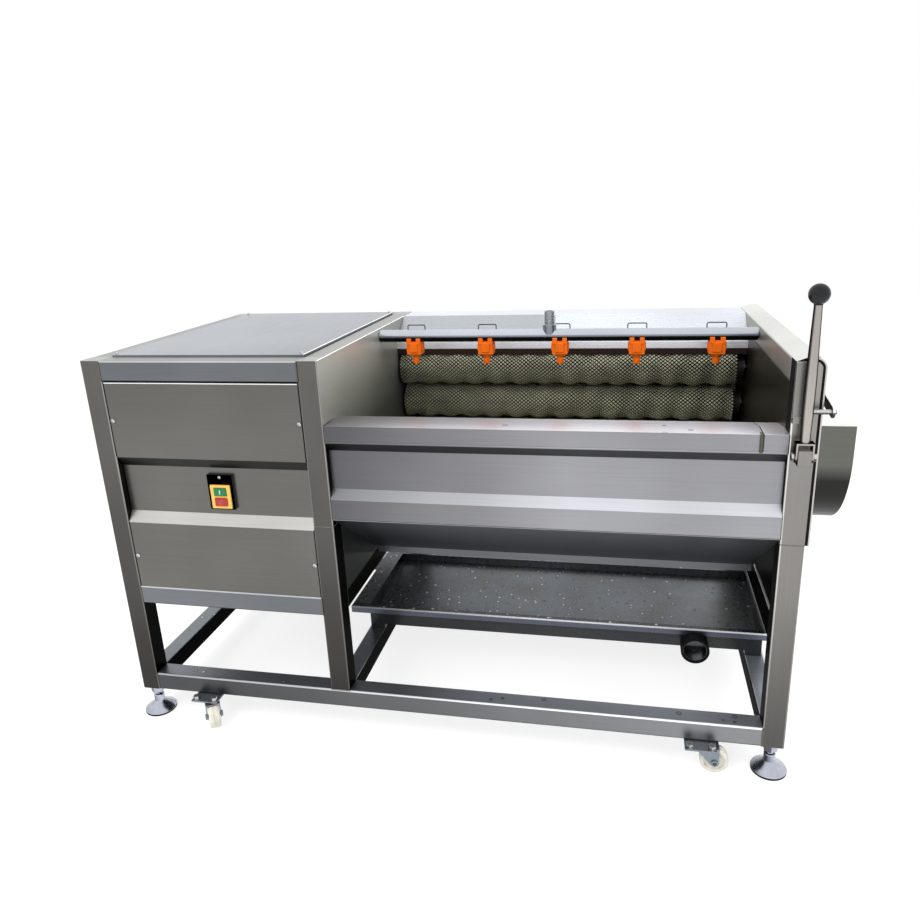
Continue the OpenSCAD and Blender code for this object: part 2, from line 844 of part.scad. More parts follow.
// A flange bearing with its nose towards +X
module bearing(x, at, way) {
    difference() {
        union() {
            rod_x(way > 0 ? x : x - bearing_flange_l, way > 0 ? x + bearing_flange_l : x, at,
                  bearing_flange_d);
            rod_x(way > 0 ? x : x - bearing_l, way > 0 ? x + bearing_l : x, at, bearing_nose_d);
        }
        rod_x(x - bearing_l - 1, x + bearing_l + 1, at, shaft_d + 2 * run);
    }
}

module shaft_bearings() {
    color(dark) for (k = [1:roller_count]) {
        bearing(x_wall, roller_at(k), -1);
        bearing(x_out + end_wall, roller_at(k), 1);
    }
}

module chain_loop(a, b, x) {
    along_x(x, x + sprocket_w) difference() {
        belt_outline(a, b, sprocket_r + clear + chain_t);
        belt_outline(a, b, sprocket_r + clear);
    }
}

module drive_chains() {
    color([0.25, 0.24, 0.22]) {
        for (k = [1:roller_count - 1])
            chain_loop(roller_at(k), roller_at(k + 1), k % 2 == 1 ? x_row_a : x_row_b);
        chain_loop(roller_at(roller_count), [y_motor, z_motor], x_row_a);
    }
}

// Gearbox and motor on a stand of two plates
module gearmotor() {
    plate_t = tab_t * 2;
    z_under = z_motor - gearbox_h / 2;
    color([0.25, 0.33, 0.4]) {
        difference() {
            block([x_gearbox, y_motor - gearbox_w / 2, z_under],
                  [x_gearbox + gearbox_l, y_motor + gearbox_w / 2, z_motor + gearbox_h / 2]);
            rod_x(x_gearbox + gearbox_l / 2, x_gearbox + gearbox_l + 1, [y_motor, z_motor],
                  output_d + 2 * run);
        }
        rod_x(x_gearbox - motor_l, x_gearbox, [y_motor, z_motor], motor_d);
        for (y = [y_motor - gearbox_w / 2, y_motor + gearbox_w / 2 - plate_t])
            block([x_gearbox, y, z_floor], [x_gearbox + gearbox_l, y + plate_t, z_under]);
    }
}

module drive_sprocket() {
    color(bright) {
        rod_x(x_gearbox + gearbox_l / 2 + 1, x_row_a + sprocket_w, [y_motor, z_motor], output_d);
        translate([0, y_motor, z_motor]) along_x(x_row_a, x_row_a + sprocket_w) toothed(sprocket_r);
    }
}

// Cabinet

module cabinet_front_panel() {
    path = [[panel_set, z_floor], [panel_set, z_panel_4], [y_band, z_panel_3], [y_band, z_panel_2],
            [panel_set, z_panel_1], [panel_set, z_open - panel_gap]];
    color(steel) difference() {
        along_x(tube + panel_gap, x_mid - panel_gap) folded(path, sheet);
        for (x = screw_x, z = screw_z)
            translate([x, -1, z]) rotate([-90, 0, 0]) cylinder(h = tube, d = screw_d + 2 * clear);
        block([x_switch - switch_box_w / 2 - switch_clear, 0, z_switch - switch_box_h / 2 - switch_clear],
              [x_switch + switch_box_w / 2 + switch_clear, tube, z_switch + switch_box_h / 2 + switch_clear]);
    }
}

gland_at = [tube + cabinet_len / 5, z_floor + gland_rise];

// Left and rear sheets between the rails, and the floor that carries the gearmotor
module cabinet_panels() {
    color(steel) {
        block([tab_t, tube, z_floor], [tab_t + sheet, y_back, z_rail]);
        difference() {
            block([tube, frame_depth - tab_t - sheet, z_floor], [x_mid, frame_depth - tab_t, z_rail]);
            translate([gland_at[0], y_back, gland_at[1]])
                rotate([-90, 0, 0]) cylinder(h = tube, d = gland_thread_d);
        }
        block([tube, tube, z_floor - 2 * sheet], [x_mid, y_back, z_floor]);
    }
}

module panel_screws() {
    head_r = (pow(screw_head_d / 2, 2) + pow(screw_head_h, 2)) / 2 / screw_head_h;
    color(bright) for (x = screw_x, z = screw_z) translate([x, panel_set, z]) rotate([90, 0, 0]) {
        translate([0, 0, -sheet - tab_t - 4]) cylinder(h = sheet + tab_t + 4, d = screw_d);
        intersection() {
            translate([0, 0, screw_head_h - head_r]) sphere(r = head_r);
            cylinder(h = screw_head_h, d = screw_head_d);
        }
    }
}

module top_cover() {
    low = [tube + panel_gap, tube + panel_gap, z_top + cover_rise - cover_rim];
    high = [x_mid - panel_gap, y_back - panel_gap, z_top + cover_rise];
    color(bright) difference() {
        block(low, high);
        block(low + [sheet, sheet, -1], high - [sheet, sheet, sheet]);
    }
}

// One button's pocket or body, grown by a clearance, between two depths
module button_block(k, y0, y1, c) {
    z = z_bezel + (k - 0.5) * button_pitch;
    block([x_switch - button_w / 2 - c, y0, z - button_h / 2 - c],
          [x_switch + button_w / 2 + c, y1, z + button_h / 2 + c]);
}

module switch_body() {
    color(dark) difference() {
        union() {
            block([x_switch - switch_w / 2, y_plate, z_switch - switch_h / 2],
                  [x_switch + switch_w / 2, y_band, z_switch + switch_h / 2]);
            block([x_switch - switch_box_w / 2, y_band, z_switch - switch_box_h / 2],
                  [x_switch + switch_box_w / 2, y_band + switch_box, z_switch + switch_box_h / 2]);
        }
        for (k = [0, 1])
            button_block(k, y_plate - 1, y_plate + button_depth + button_travel + clear, button_clear);
    }
    color([0.95, 0.75, 0.1]) difference() {
        block([x_switch - bezel_w / 2, y_bezel, z_bezel - bezel_h / 2],
              [x_switch + bezel_w / 2, y_plate, z_bezel + bezel_h / 2]);
        for (k = [0, 1])
            button_block(k, y_bezel - 1, y_plate + 1, button_clear);
    }
}

module start_button() {
    color([0.1, 0.55, 0.25]) button_block(1, y_bezel - button_proud, y_plate + button_depth, 0);
}

module stop_button() {
    color([0.8, 0.1, 0.08]) button_block(0, y_bezel - button_proud, y_plate + button_depth, 0);
}

module cable_gland() {
    color(dark) translate([gland_at[0], frame_depth - tab_t, gland_at[1]]) rotate([-90, 0, 0]) difference() {
        union() {
            cylinder(h = gland_l, d = gland_d);
            cylinder(h = gland_l / 3, d = gland_hex_d, $fn = 6);
            translate([0, 0, -sheet - gland_in_l]) cylinder(h = sheet + gland_in_l + 1, d = gland_thread_d);
        }
        translate([0, 0, -sheet - gland_in_l - 1])
            cylinder(h = gland_l + sheet + gland_in_l + 2, d = gland_bore_d);
    }
}

// Spray

module spray_pipe() {
    inlet_bore = inlet_d - 2 * pipe_wall - 2;
    color(bright) difference() {
        union() {
            rod_x(x_in, x_out, [y_pipe, z_pipe], pipe_d);
            translate([x_inlet, y_pipe, z_pipe]) cylinder(h = inlet_h, d = inlet_d);
            translate([x_inlet, y_pipe, z_pipe]) cylinder(h = pipe_d, d = inlet_collar_d);
        }
        rod_x(x_in - 1, x_out + 1, [y_pipe, z_pipe], pipe_d - 2 * pipe_wall);
        translate([x_inlet, y_pipe, z_pipe])
            cylinder(h = inlet_h + 1, d = min(inlet_bore, pipe_d - 2 * pipe_wall));
    }
}

// A saddle under the pipe with a hinge lug behind it, a body and a spout
module nozzle(k) {
    x = nozzle_x(k);
    lug_half = nozzle_l / 2 - 4;
    difference() {
        union() {
            intersection() {
                rod_x(x - nozzle_l / 2, x + nozzle_l / 2, [y_pipe, z_pipe], 2 * saddle_r);
                block([x - nozzle_l, y_pipe - saddle_r - 1, z_pipe - saddle_r - 1],
                      [x + nozzle_l, y_pipe + saddle_r + 1, z_pipe]);
            }
            block([x - nozzle_l / 2, y_pipe - saddle_r, z_pipe - nozzle_body],
                  [x + nozzle_l / 2, y_pipe + saddle_r, z_pipe - pipe_d / 2 - 1]);
            translate([x, y_pipe, z_pipe - nozzle_body - spout_l]) cylinder(h = spout_l + 1, d = spout_d);
            rod_x(x - lug_half, x + lug_half, [y_hinge, z_hinge], 3 * wire_d);
            block([x - lug_half, y_pipe, z_hinge - 1.5 * wire_d], [x + lug_half, y_hinge, z_hinge]);
        }
        rod_x(x - nozzle_l, x + nozzle_l, [y_pipe, z_pipe], pipe_d);
        rod_x(x - nozzle_l, x + nozzle_l, [y_hinge, z_hinge], wire_d + 2 * run);
    }
}

module spray_nozzles() {
    color(orange) for (k = [1:nozzle_count]) nozzle(k);
}

// A closed wire loop that hinges in the nozzle's lug
module nozzle_bail(k) {
    x0 = nozzle_x(k) - (bail_w - wire_d) / 2;
    x1 = nozzle_x(k) + (bail_w - wire_d) / 2;
    color(bright) {
        for (z = [z_hinge, z_hinge + bail_h])
            rod_x(x0, x1, [y_hinge, z], wire_d);
        for (x = [x0, x1]) {
            translate([x, y_hinge, z_hinge]) cylinder(h = bail_h, d = wire_d);
            for (z = [z_hinge, z_hinge + bail_h])
                translate([x, y_hinge, z]) sphere(d = wire_d);
        }
    }
}

// Discharge end

module end_gasket() {
    color(dark) {
        along_y(0, frame_depth) intersection() {
            end_wrap(0, gasket_t, z_rail);
            translate([0, z_rail]) square([2 * x_end, z_top]);
        }
        for (y = [0, frame_depth - gasket_w])
            block([x_end, y, z_box], [x_cover, y + gasket_w, z_rail + tube / 2]);
    }
}

// Three panels, of which the middle one carries the stud and collar that the gate turns on
module end_cover() {
    stud_end = x_gate + gate_hub_l + gate_gap / 2;
    color(steel) {
        difference() {
            along_y(0, frame_depth) end_wrap(gasket_t, cover_t, z_box);
            along_x(x_in, x_skin + 1) {
                duct_outline(0);
                plate_seams();
            }
        }
        rod_x(x_skin - 1, stud_end + collar_t, [y_mid, z_gate], gate_pin_d);
        rod_x(stud_end, stud_end + collar_t, [y_mid, z_gate], gate_pin_d + 2 * collar_rim);
    }
}

// A plate that hangs from the stud, with a rounded lower edge and a crank above
module gate() {
    half = discharge_w / 2 + gate_lap;
    color(bright) difference() {
        union() {
            along_x(x_gate, x_gate + gate_t) {
                intersection() {
                    translate([y_mid, z_gate]) circle(r = gate_r);
                    translate([y_mid - half, z_sill - gate_r])
                        square([2 * half, z_lintel + gate_lap - z_sill + gate_r]);
                }
                translate([y_mid - gate_hub_d / 2, z_lintel]) square([gate_hub_d, z_gate - z_lintel]);
                translate([y_mid - link_w / 2, z_gate]) square([link_w, crank]);
                translate([y_mid, z_gate + crank]) circle(d = link_w);
            }
            rod_x(x_gate, x_gate + gate_hub_l, [y_mid, z_gate], gate_hub_d);
            rod_x(x_gate, x_link + link_t + link_pin_end, [y_mid, z_gate + crank], link_pin_d);
        }
        rod_x(x_gate - 1, x_gate + gate_hub_l + 1, [y_mid, z_gate], gate_pin_d + 2 * run);
    }
}

// A flat bar from the lever's pin to the gate's crank pin
module gate_link() {
    a = [y_lever, z_lever + crank];
    b = [y_mid, z_gate + crank];
    color(bright) difference() {
        along_x(x_link, x_link + link_t) belt_outline(a, b, link_w / 2);
        rod_x(x_link - 1, x_link + link_t + 1, a, link_pin_d + 2 * link_play);
        rod_x(x_link - 1, x_link + link_t + 1, b, link_pin_d + 2 * run);
    }
}

// A rod on a strap that straddles the lug, with the link pin across it
module gate_lever() {
    strap_in = lug_w / 2 + strap_play;
    strap_out = strap_in + strap_t;
    y0 = y_lever - strap_w / 2;
    color(bright) difference() {
        union() {
            for (x = [x_lever - strap_out, x_lever + strap_in]) {
                block([x, y0, z_lever], [x + strap_t, y0 + strap_w, z_lever + strap_rise + strap_t]);
                rod_x(x, x + strap_t, [y_lever, z_lever], strap_w);
            }
            block([x_lever - strap_out, y0, z_lever + strap_rise],
                  [x_lever + strap_out, y0 + strap_w, z_lever + strap_rise + strap_t]);
            translate([x_lever, y_lever, z_lever + strap_rise])
                cylinder(h = lever_l - strap_rise - knob_d / 4, d = rod_d);
            rod_x(x_lever, x_link + link_t + link_pin_end, [y_lever, z_lever + crank], link_pin_d);
        }
        rod_x(x_lever - strap_out - 1, x_lever + strap_out + 1, [y_lever, z_lever], bolt_d + 2 * run);
    }
}

module lever_knob() {
    color(dark) difference() {
        translate([x_lever, y_lever, z_lever + lever_l]) sphere(d = knob_d);
        translate([x_lever, y_lever, z_lever]) cylinder(h = lever_l - knob_d / 4, d = rod_d);
    }
}

// The pivot lug, the stop tab and the flat bar above it, welded to the post
module lever_bracket() {
    y_stop = y_lever + rod_d / 2 + clear;
    color(steel) {
        difference() {
            block([x_lever - lug_w / 2, -lug_d, z_lever - lug_h / 2],
                  [x_lever + lug_w / 2, 0, z_lever + lug_h / 2]);
            rod_x(x_lever - lug_w, x_lever + lug_w, [y_lever, z_lever], bolt_d + 2 * run);
        }
        block([x_out, y_stop, z_lever + stop_rise], [x_out + stop_w, 0, z_lever + stop_rise + stop_h]);
        block([x_out, y_stop / 2, z_lever + stop_rise + stop_h], [x_out + stop_w, 0, z_top]);
    }
}

// Where the spout's stand-offs lie: two beside the gate's path and two below it
standoff_r = spout_r + flange_w - standoff_d;
standoff_places = [[y_mid - standoff_r, z_mid + spout_lid / 2],
    for (a = [215, 257, 283]) [y_mid + standoff_r * cos(a), z_mid + standoff_r * sin(a)]];
end_bolts = [for (y = [tube / 2, frame_depth - tube / 2], z = [z_mid + spout_lid / 4, z_box + tube]) [y, z]];

// Spout stand-offs, end cover bolts and the lever's pivot bolt
module fixings() {
    bolt_out = lug_w / 2 + strap_play + strap_t + clear;
    color(bright) {
        for (p = standoff_places) {
            rod_x(x_skin, x_flange, p, standoff_d);
            rod_x(x_flange + sheet, x_flange + sheet + nut_h, p, standoff_d);
        }
        for (p = end_bolts)
            rod_x(x_skin, x_skin + cover_bolt_h, p, cover_bolt_d);
        rod_x(x_lever - bolt_out, x_lever + bolt_out, [y_lever, z_lever], bolt_d);
        for (x = [x_lever - bolt_out - nut_h, x_lever + bolt_out])
            rod_x(x, x + nut_h, [y_lever, z_lever], 1.7 * bolt_d);
    }
}

// A flat-topped outline with a round bottom
module spout_outline(r, top) {
    intersection() {
        translate([y_mid, z_mid]) circle(r = r);
        translate([y_mid - r, z_mid - r]) square([2 * r, r + 1]);
    }
    translate([y_mid - r, z_mid]) square([2 * r, top]);
}

// A hood with a round bottom and a flat lid, on a flange without an upper side
module chute() {
    color(steel) {
        along_x(x_flange, x_mouth) difference() {
            spout_outline(spout_r + sheet, spout_lid);
            spout_outline(spout_r, spout_lid - sheet);
        }
        along_x(x_flange, x_flange + sheet) difference() {
            spout_outline(spout_r + flange_w, spout_lid);
            spout_outline(spout_r + sheet / 2, spout_lid + 1);
        }
    }
}

// Drip tray

module tray() {
    outer = [[tray_front, z_tray], [y_tray, z_tray + tray_fall], [y_tray, z_rim], [tray_front, z_rim]];
    inner = [[tray_front + sheet, z_tray + sheet], [y_tray - sheet, z_tray + tray_fall + sheet],
             [y_tray - sheet, z_rim + 1], [tray_front + sheet, z_rim + 1]];
    x_drain = x_out - drain_x;
    y_collar = tray_front - tray_edge - sheet;
    color(steel) difference() {
        union() {
            along_x(x_tray0, x_tray1) polygon(outer);
            block([x_tray0 - tray_side, tray_front - tray_edge, z_rim - sheet],
                  [x_tray1 + tray_side, y_tray + tray_edge, z_rim]);
            block([x_tray0 - tray_side, tray_front - tray_edge, z_rim - tray_lip],
                  [x_tray1 + tray_side, tray_front - tray_edge + sheet, z_rim]);
            for (x = [x_tray0, x_out]) {
                block([x, tray_front, z_deck], [x + tray_lap, tray_front + tray_pad_d, z_tray + sheet]);
                block([x, y_tray - tray_pad_d, z_deck], [x + tray_lap, y_tray, z_tray + tray_fall]);
            }
            translate([x_drain, tray_front - drain_l, z_drain])
                rotate([-90, 0, 0]) cylinder(h = drain_l + sheet, d = drain_d);
            translate([x_drain, y_collar, z_drain])
                rotate([-90, 0, 0])
                    cylinder(h = tray_front + sheet - y_collar, d = drain_d + 2 * drain_collar);
        }
        along_x(x_tray0 + sheet, x_tray1 - sheet) polygon(inner);
        translate([x_drain, tray_front - drain_l - 1, z_drain]) rotate([-90, 0, 0])
            cylinder(h = drain_l + 1 - sheet, d = drain_d - 2 * drain_wall);
        intersection() {
            translate([x_drain, tray_front - 2 * sheet, z_drain]) rotate([-90, 0, 0])
                cylinder(h = 4 * sheet, d = drain_d - 2 * drain_wall);
            block([x_drain - drain_d, tray_front - 2 * sheet, z_tray + 2 * sheet],
                  [x_drain + drain_d, tray_front + 2 * sheet, z_rim - tray_lip]);
        }
    }
}

// Feet and casters

// A cone pad, a hub with a hexagon and a stem that turns in the post's plate
module foot(k) {
    color(bright) translate([foot_places[k - 1][0], foot_places[k - 1][1], 0]) {
        rotate_extrude() polygon([[0, 0], [foot_d / 2, 0], [foot_d / 2, foot_rim],
            [foot_hub_d / 2, foot_cone], [0, foot_cone]]);
        translate([0, 0, foot_cone]) cylinder(h = foot_h + stem_in - foot_cone, d = stem_d);
        translate([0, 0, foot_cone]) cylinder(h = foot_hex_h, d = foot_hub_d, $fn = 6);
        translate([0, 0, foot_h - clear - foot_hex_h]) cylinder(h = foot_hex_h, d = foot_hub_d, $fn = 6);
    }
}

// The plates that are bolted under the rails, with the kingpins
module caster_plates() {
    color(bright) for (c = caster_places) translate([c[0], c[1], 0]) {
        translate([-caster_plate / 2, -caster_plate / 2, z_plate])
            cube([caster_plate, caster_plate, caster_plate_t]);
        translate([0, 0, z_crown - 5]) cylinder(h = z_plate - z_crown + 6, d = axle_d);
        translate([0, 0, z_crown - 5]) cylinder(h = 5 - clear, d = axle_d + 6);
        out = c[1] < y_mid ? -1 : 1;
        for (x = [-1, 1])
            translate([x * (caster_plate / 2 - 11), out * (caster_plate / 2 - 10), z_plate])
                cylinder(h = caster_plate_t + 10, d = axle_d);
    }
}

// A pressed fork: a crown on the kingpin, two tapered arms and the wheel's axle
module caster_fork(k) {
    c = caster_places[k - 1];
    out = fork_in / 2 + fork_t;
    color(bright) translate([c[0], c[1], 0]) rotate([0, 0, c[2]]) {
        difference() {
            translate([-axle_d, -out, z_crown]) cube([caster_trail + 2 * axle_d, 2 * out, fork_t]);
            translate([0, 0, z_crown - 1]) cylinder(h = fork_t + 2, d = axle_d + 2 * run);
        }
        for (y = [-out, fork_in / 2])
            along_y(y, y + fork_t)
                polygon([[-axle_d, z_crown + 1], [caster_trail + axle_d, z_crown + 1],
                         [caster_trail + axle_d, wheel_z - axle_d / 2], [caster_trail, wheel_z - axle_d],
                         [caster_trail - axle_d, wheel_z - axle_d / 2]]);
        translate([caster_trail, out + 4, wheel_z]) rotate([90, 0, 0]) cylinder(h = 2 * out + 8, d = axle_d);
    }
}

module caster_wheel(k) {
    c = caster_places[k - 1];
    color([0.92, 0.92, 0.88]) translate([c[0], c[1], 0]) rotate([0, 0, c[2]])
        translate([caster_trail, wheel_w / 2, wheel_z]) rotate([90, 0, 0]) difference() {
            cylinder(h = wheel_w, d = wheel_d);
            translate([0, 0, -1]) cylinder(h = wheel_w + 2, d = axle_d + 2 * run);
        }
}

// The whole machine, moved so that the origin is under the middle of its box
translate([-x_shift, -y_shift, 0]) {
    frame_posts();
    base_rails();
    upper_rails();
    left_end_wall();
    right_end_wall();
    trough_front();
    front_rail();
    trough_rear();
    hopper_sheets();
    end_gasket();
    end_cover();
    chute();
    fixings();
    lever_bracket();
    cabinet_front_panel();
    cabinet_panels();
    panel_screws();
    switch_body();
    cable_gland();
    spray_pipe();
    spray_nozzles();
    shaft_bearings();
    drive_chains();
    gearmotor();
    tray();
    caster_plates();
    gate();
    gate_link();
    gate_lever();
    lever_knob();
    top_cover();
    start_button();
    stop_button();
    drive_sprocket();
    for (k = [1:nozzle_count])
        nozzle_bail(k);
    for (k = [1:4]) {
        caster_fork(k);
        caster_wheel(k);
        foot(k);
    }
    for (k = [1:roller_count])
        roller(k);
}
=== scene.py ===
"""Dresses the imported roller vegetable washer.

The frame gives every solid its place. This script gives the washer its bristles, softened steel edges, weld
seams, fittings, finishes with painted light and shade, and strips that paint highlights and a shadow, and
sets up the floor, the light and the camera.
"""

import logging
import math
from contextlib import contextmanager
from dataclasses import dataclass, field
from enum import Enum
from typing import Callable, Iterator, Sequence

import bpy
import numpy as np
from mathutils import Matrix, Vector

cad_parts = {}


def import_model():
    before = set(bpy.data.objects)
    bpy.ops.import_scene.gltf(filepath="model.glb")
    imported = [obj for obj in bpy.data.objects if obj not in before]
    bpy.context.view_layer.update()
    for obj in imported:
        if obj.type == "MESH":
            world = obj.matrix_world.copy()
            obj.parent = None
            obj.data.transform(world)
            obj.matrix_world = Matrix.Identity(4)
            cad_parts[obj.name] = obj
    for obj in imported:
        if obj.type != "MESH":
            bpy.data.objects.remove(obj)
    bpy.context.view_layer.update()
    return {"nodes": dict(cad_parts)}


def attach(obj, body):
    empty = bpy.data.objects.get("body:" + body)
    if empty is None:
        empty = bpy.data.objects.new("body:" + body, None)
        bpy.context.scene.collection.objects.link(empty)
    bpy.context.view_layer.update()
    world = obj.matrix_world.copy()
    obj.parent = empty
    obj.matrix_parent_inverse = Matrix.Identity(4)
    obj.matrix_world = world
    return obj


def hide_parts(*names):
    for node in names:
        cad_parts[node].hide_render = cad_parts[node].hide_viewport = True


log = logging.getLogger("washer")

Point = tuple[float, float, float]
Profile = Sequence[tuple[float, float]]
Colour = tuple[float, float, float]
Piece = bpy.types.Object
Socket = bpy.types.NodeSocket
Material = bpy.types.Material

# Metres in a millimetre
MM = 0.001
# Degrees from which two faces meet in a sharp edge, and in a fold of sheet
SHARP = 30.0
FOLD = 12.0
# Turns of a cut thread, and millimetres from one to the next
THREAD_TURNS = 14
THREAD_PITCH = 2.0
# Millimetres from the shop drawing's corner, the left front post at floor level, to the row's origin
X_SHIFT = 882.0
Y_SHIFT = 400.0
FRAME_BODY = "washer_frame"


def at(x: float, y: float, z: float) -> Vector:
    """Turns millimetres in the shop drawing into metres in the row frame."""
    return Vector((x - X_SHIFT, y - Y_SHIFT, z)) * MM


def srgb(red: int, green: int, blue: int) -> Colour:
    """Turns a display colour of 0 to 255 into a linear one."""

    def linear(value: int) -> float:
        v = value / 255.0
        return v / 12.92 if v <= 0.04045 else ((v + 0.055) / 1.055) ** 2.4

    return (linear(red), linear(green), linear(blue))


class Axis(Enum):
    """The row axis that a turned piece or a pipe runs along."""

    X = "X"
    Y = "Y"
    Z = "Z"

    def turn(self) -> Matrix:
        """Returns the rotation that takes +Z to this axis."""
        if self is Axis.X:
            return Matrix.Rotation(math.radians(90), 4, "Y")
        if self is Axis.Y:
            return Matrix.Rotation(math.radians(-90), 4, "X")
        return Matrix.Identity(4)


def ring_profile(inner: float, outer: float, height: float) -> list[tuple[float, float]]:
    """Returns the profile of a plain ring, in millimetres, that is open at its bore."""
    return [(inner, 0.0), (outer, 0.0), (outer, height), (inner, height)]


def thread_profile(crest: float, root: float, start: float) -> list[tuple[float, float]]:
    """Returns the profile of a thread of that crest and root radius, from a height in millimetres up."""
    profile = []
    for turn in range(THREAD_TURNS):
        height = start + turn * THREAD_PITCH
        profile += [(crest, height), (root, height + THREAD_PITCH / 2)]
    return profile


class Bench:
    """The hand tools that every piece is made with."""

    @staticmethod
    def hold(piece: Piece) -> None:
        """Selects one piece alone and makes it active."""
        bpy.ops.object.select_all(action="DESELECT")
        piece.select_set(True)
        bpy.context.view_layer.objects.active = piece

    @staticmethod
    @contextmanager
    def editing(piece: Piece) -> Iterator[None]:
        """Opens a piece in edit mode with all of it selected, and closes it again."""
        Bench.hold(piece)
        bpy.ops.object.mode_set(mode="EDIT")
        bpy.ops.mesh.select_all(action="SELECT")
        try:
            yield
        finally:
            bpy.ops.object.mode_set(mode="OBJECT")

    @staticmethod
    def finish_modifier(piece: Piece, kind: str, **settings: object) -> None:
        """Adds one modifier with its settings and applies it.

        Args:
            piece: The piece to change.
            kind: The modifier's type.
            settings: The modifier's own values.
        """
        Bench.hold(piece)
        modifier = piece.modifiers.new(kind.lower(), kind)
        for key, value in settings.items():
            setattr(modifier, key, value)
        bpy.ops.object.modifier_apply(modifier=modifier.name)

    @staticmethod
    def soften(piece: Piece, width: float, segments: int = 2, sharp: float = SHARP) -> Piece:
        """Rounds the sharp edges of a piece and shades it smooth.

        Args:
            piece: The piece to change.
            width: Width of the rounding in millimetres.
            segments: Steps of the rounding.
            sharp: Angle in degrees from which an edge counts as sharp.

        Returns:
            The same piece.
        """
        Bench.finish_modifier(
            piece, "BEVEL", width=width * MM, segments=segments, limit_method="ANGLE",
            angle_limit=math.radians(sharp), use_clamp_overlap=True, miter_outer="MITER_ARC",
        )
        return Bench.shade(piece)

    @staticmethod
    def round_long(piece: Piece, width: float, least: float = 150.0) -> Piece:
        """Rounds only the long sharp edges of a piece, as on a drawn tube.

        Args:
            piece: The piece to change.
            width: Radius of the rounding in millimetres.
            least: Length in millimetres from which an edge is rounded.

        Returns:
            The same piece.
        """
        mesh = piece.data
        with Bench.editing(piece):
            bpy.ops.mesh.select_mode(type="EDGE")
            bpy.ops.mesh.select_all(action="DESELECT")
            bpy.ops.mesh.edges_select_sharp(sharpness=math.radians(SHARP))
        chosen = np.empty(len(mesh.edges), dtype=bool)
        mesh.edges.foreach_get("select", chosen)
        ends = np.empty(len(mesh.edges) * 2, dtype=np.int32)
        mesh.edges.foreach_get("vertices", ends)
        points = np.empty(len(mesh.vertices) * 3)
        mesh.vertices.foreach_get("co", points)
        span = np.diff(points.reshape(-1, 3)[ends.reshape(-1, 2)], axis=1)[:, 0]
        chosen &= np.linalg.norm(span, axis=1) > least * MM
        layer = mesh.attributes.new("bevel_weight_edge", "FLOAT", "EDGE")
        layer.data.foreach_set("value", chosen.astype(np.float32))
        Bench.finish_modifier(
            piece, "BEVEL", width=width * MM, segments=4, limit_method="WEIGHT", use_clamp_overlap=False,
        )
        return Bench.shade(piece)

    @staticmethod
    def smooth(piece: Piece, angle: float = 32.0) -> Piece:
        """Shades a piece smooth up to an angle in degrees and returns it."""
        Bench.hold(piece)
        bpy.ops.object.shade_smooth_by_angle(angle=math.radians(angle))
        return piece

    @staticmethod
    def shade(piece: Piece) -> Piece:
        """Shades a rounded piece smooth, with its flat faces kept flat, and returns it."""
        Bench.smooth(piece)
        Bench.finish_modifier(piece, "WEIGHTED_NORMAL", weight=80, keep_sharp=True)
        return piece

    @staticmethod
    def settle(piece: Piece, name: str) -> Piece:
        """Names a piece and moves its place into its mesh."""
        Bench.hold(piece)
        bpy.ops.object.transform_apply(location=True, rotation=True, scale=True)
        piece.name = name
        piece.data.name = name
        return piece

    @staticmethod
    def block(name: str, low: Point, high: Point, edge: float = 1.0, segments: int = 2) -> Piece:
        """Makes a box between two corners in drawing millimetres, with rounded edges.

        Args:
            name: The piece's name.
            low: Lowest corner.
            high: Highest corner.
            edge: Width of the edge rounding in millimetres.
            segments: Steps of the rounding.

        Returns:
            The new piece.
        """
        a, b = at(*low), at(*high)
        bpy.ops.object.select_all(action="DESELECT")
        bpy.ops.mesh.primitive_cube_add(size=1.0, location=(a + b) / 2)
        piece = bpy.context.object
        piece.scale = b - a
        Bench.settle(piece, name)
        return Bench.soften(piece, edge, segments)

    @staticmethod
    def trace(points: Sequence[Vector]) -> Piece:
        """Draws a line through some points in metres and returns it."""
        bpy.ops.object.select_all(action="DESELECT")
        bpy.ops.mesh.primitive_plane_add(size=1.0, location=(0, 0, 0))
        piece = bpy.context.object
        with Bench.editing(piece):
            bpy.ops.mesh.merge(type="CENTER")
            bpy.ops.transform.translate(value=points[0])
            for last, point in zip(points, points[1:]):
                bpy.ops.mesh.extrude_vertices_move(TRANSFORM_OT_translate={"value": point - last})
        return piece

    @staticmethod
    def turned(name: str, profile: Profile, base: Point, axis: Axis = Axis.Z, steps: int = 48) -> Piece:
        """Spins a profile round an axis.

        Args:
            name: The piece's name.
            profile: Radius and height of each point in millimetres, from the bottom up.
            base: Where the profile's height 0 lies, in drawing millimetres.
            axis: The axis of the spin.
            steps: Steps round the axis.

        Returns:
            The new piece.
        """
        piece = Bench.trace([Vector((radius, 0.0, height)) * MM for radius, height in profile])
        with Bench.editing(piece):
            bpy.ops.mesh.spin(steps=steps, angle=math.tau, center=(0, 0, 0), axis=(0, 0, 1))
            bpy.ops.mesh.select_all(action="SELECT")
            bpy.ops.mesh.remove_doubles(threshold=1e-6)
            bpy.ops.mesh.normals_make_consistent(inside=False)
        piece.data.transform(Matrix.Translation(at(*base)) @ axis.turn())
        Bench.settle(piece, name)
        return Bench.smooth(piece)

    @staticmethod
    def plate(name: str, outline: Profile, low: float, high: float) -> Piece:
        """Makes a flat plate square to the X axis from its outline.

        Args:
            name: The piece's name.
            outline: Y and Z of each corner in drawing millimetres.
            low: X of the plate's left face.
            high: X of its right face.

        Returns:
            The new piece.
        """
        piece = Bench.trace([at(low, y, z) for y, z in outline])
        thickness = ((high - low) * MM, 0, 0)
        with Bench.editing(piece):
            bpy.ops.mesh.edge_face_add()
            bpy.ops.mesh.extrude_region_move(TRANSFORM_OT_translate={"value": thickness})
            bpy.ops.mesh.select_all(action="SELECT")
            bpy.ops.mesh.normals_make_consistent(inside=False)
        Bench.settle(piece, name)
        return Bench.soften(piece, 0.3, 2)

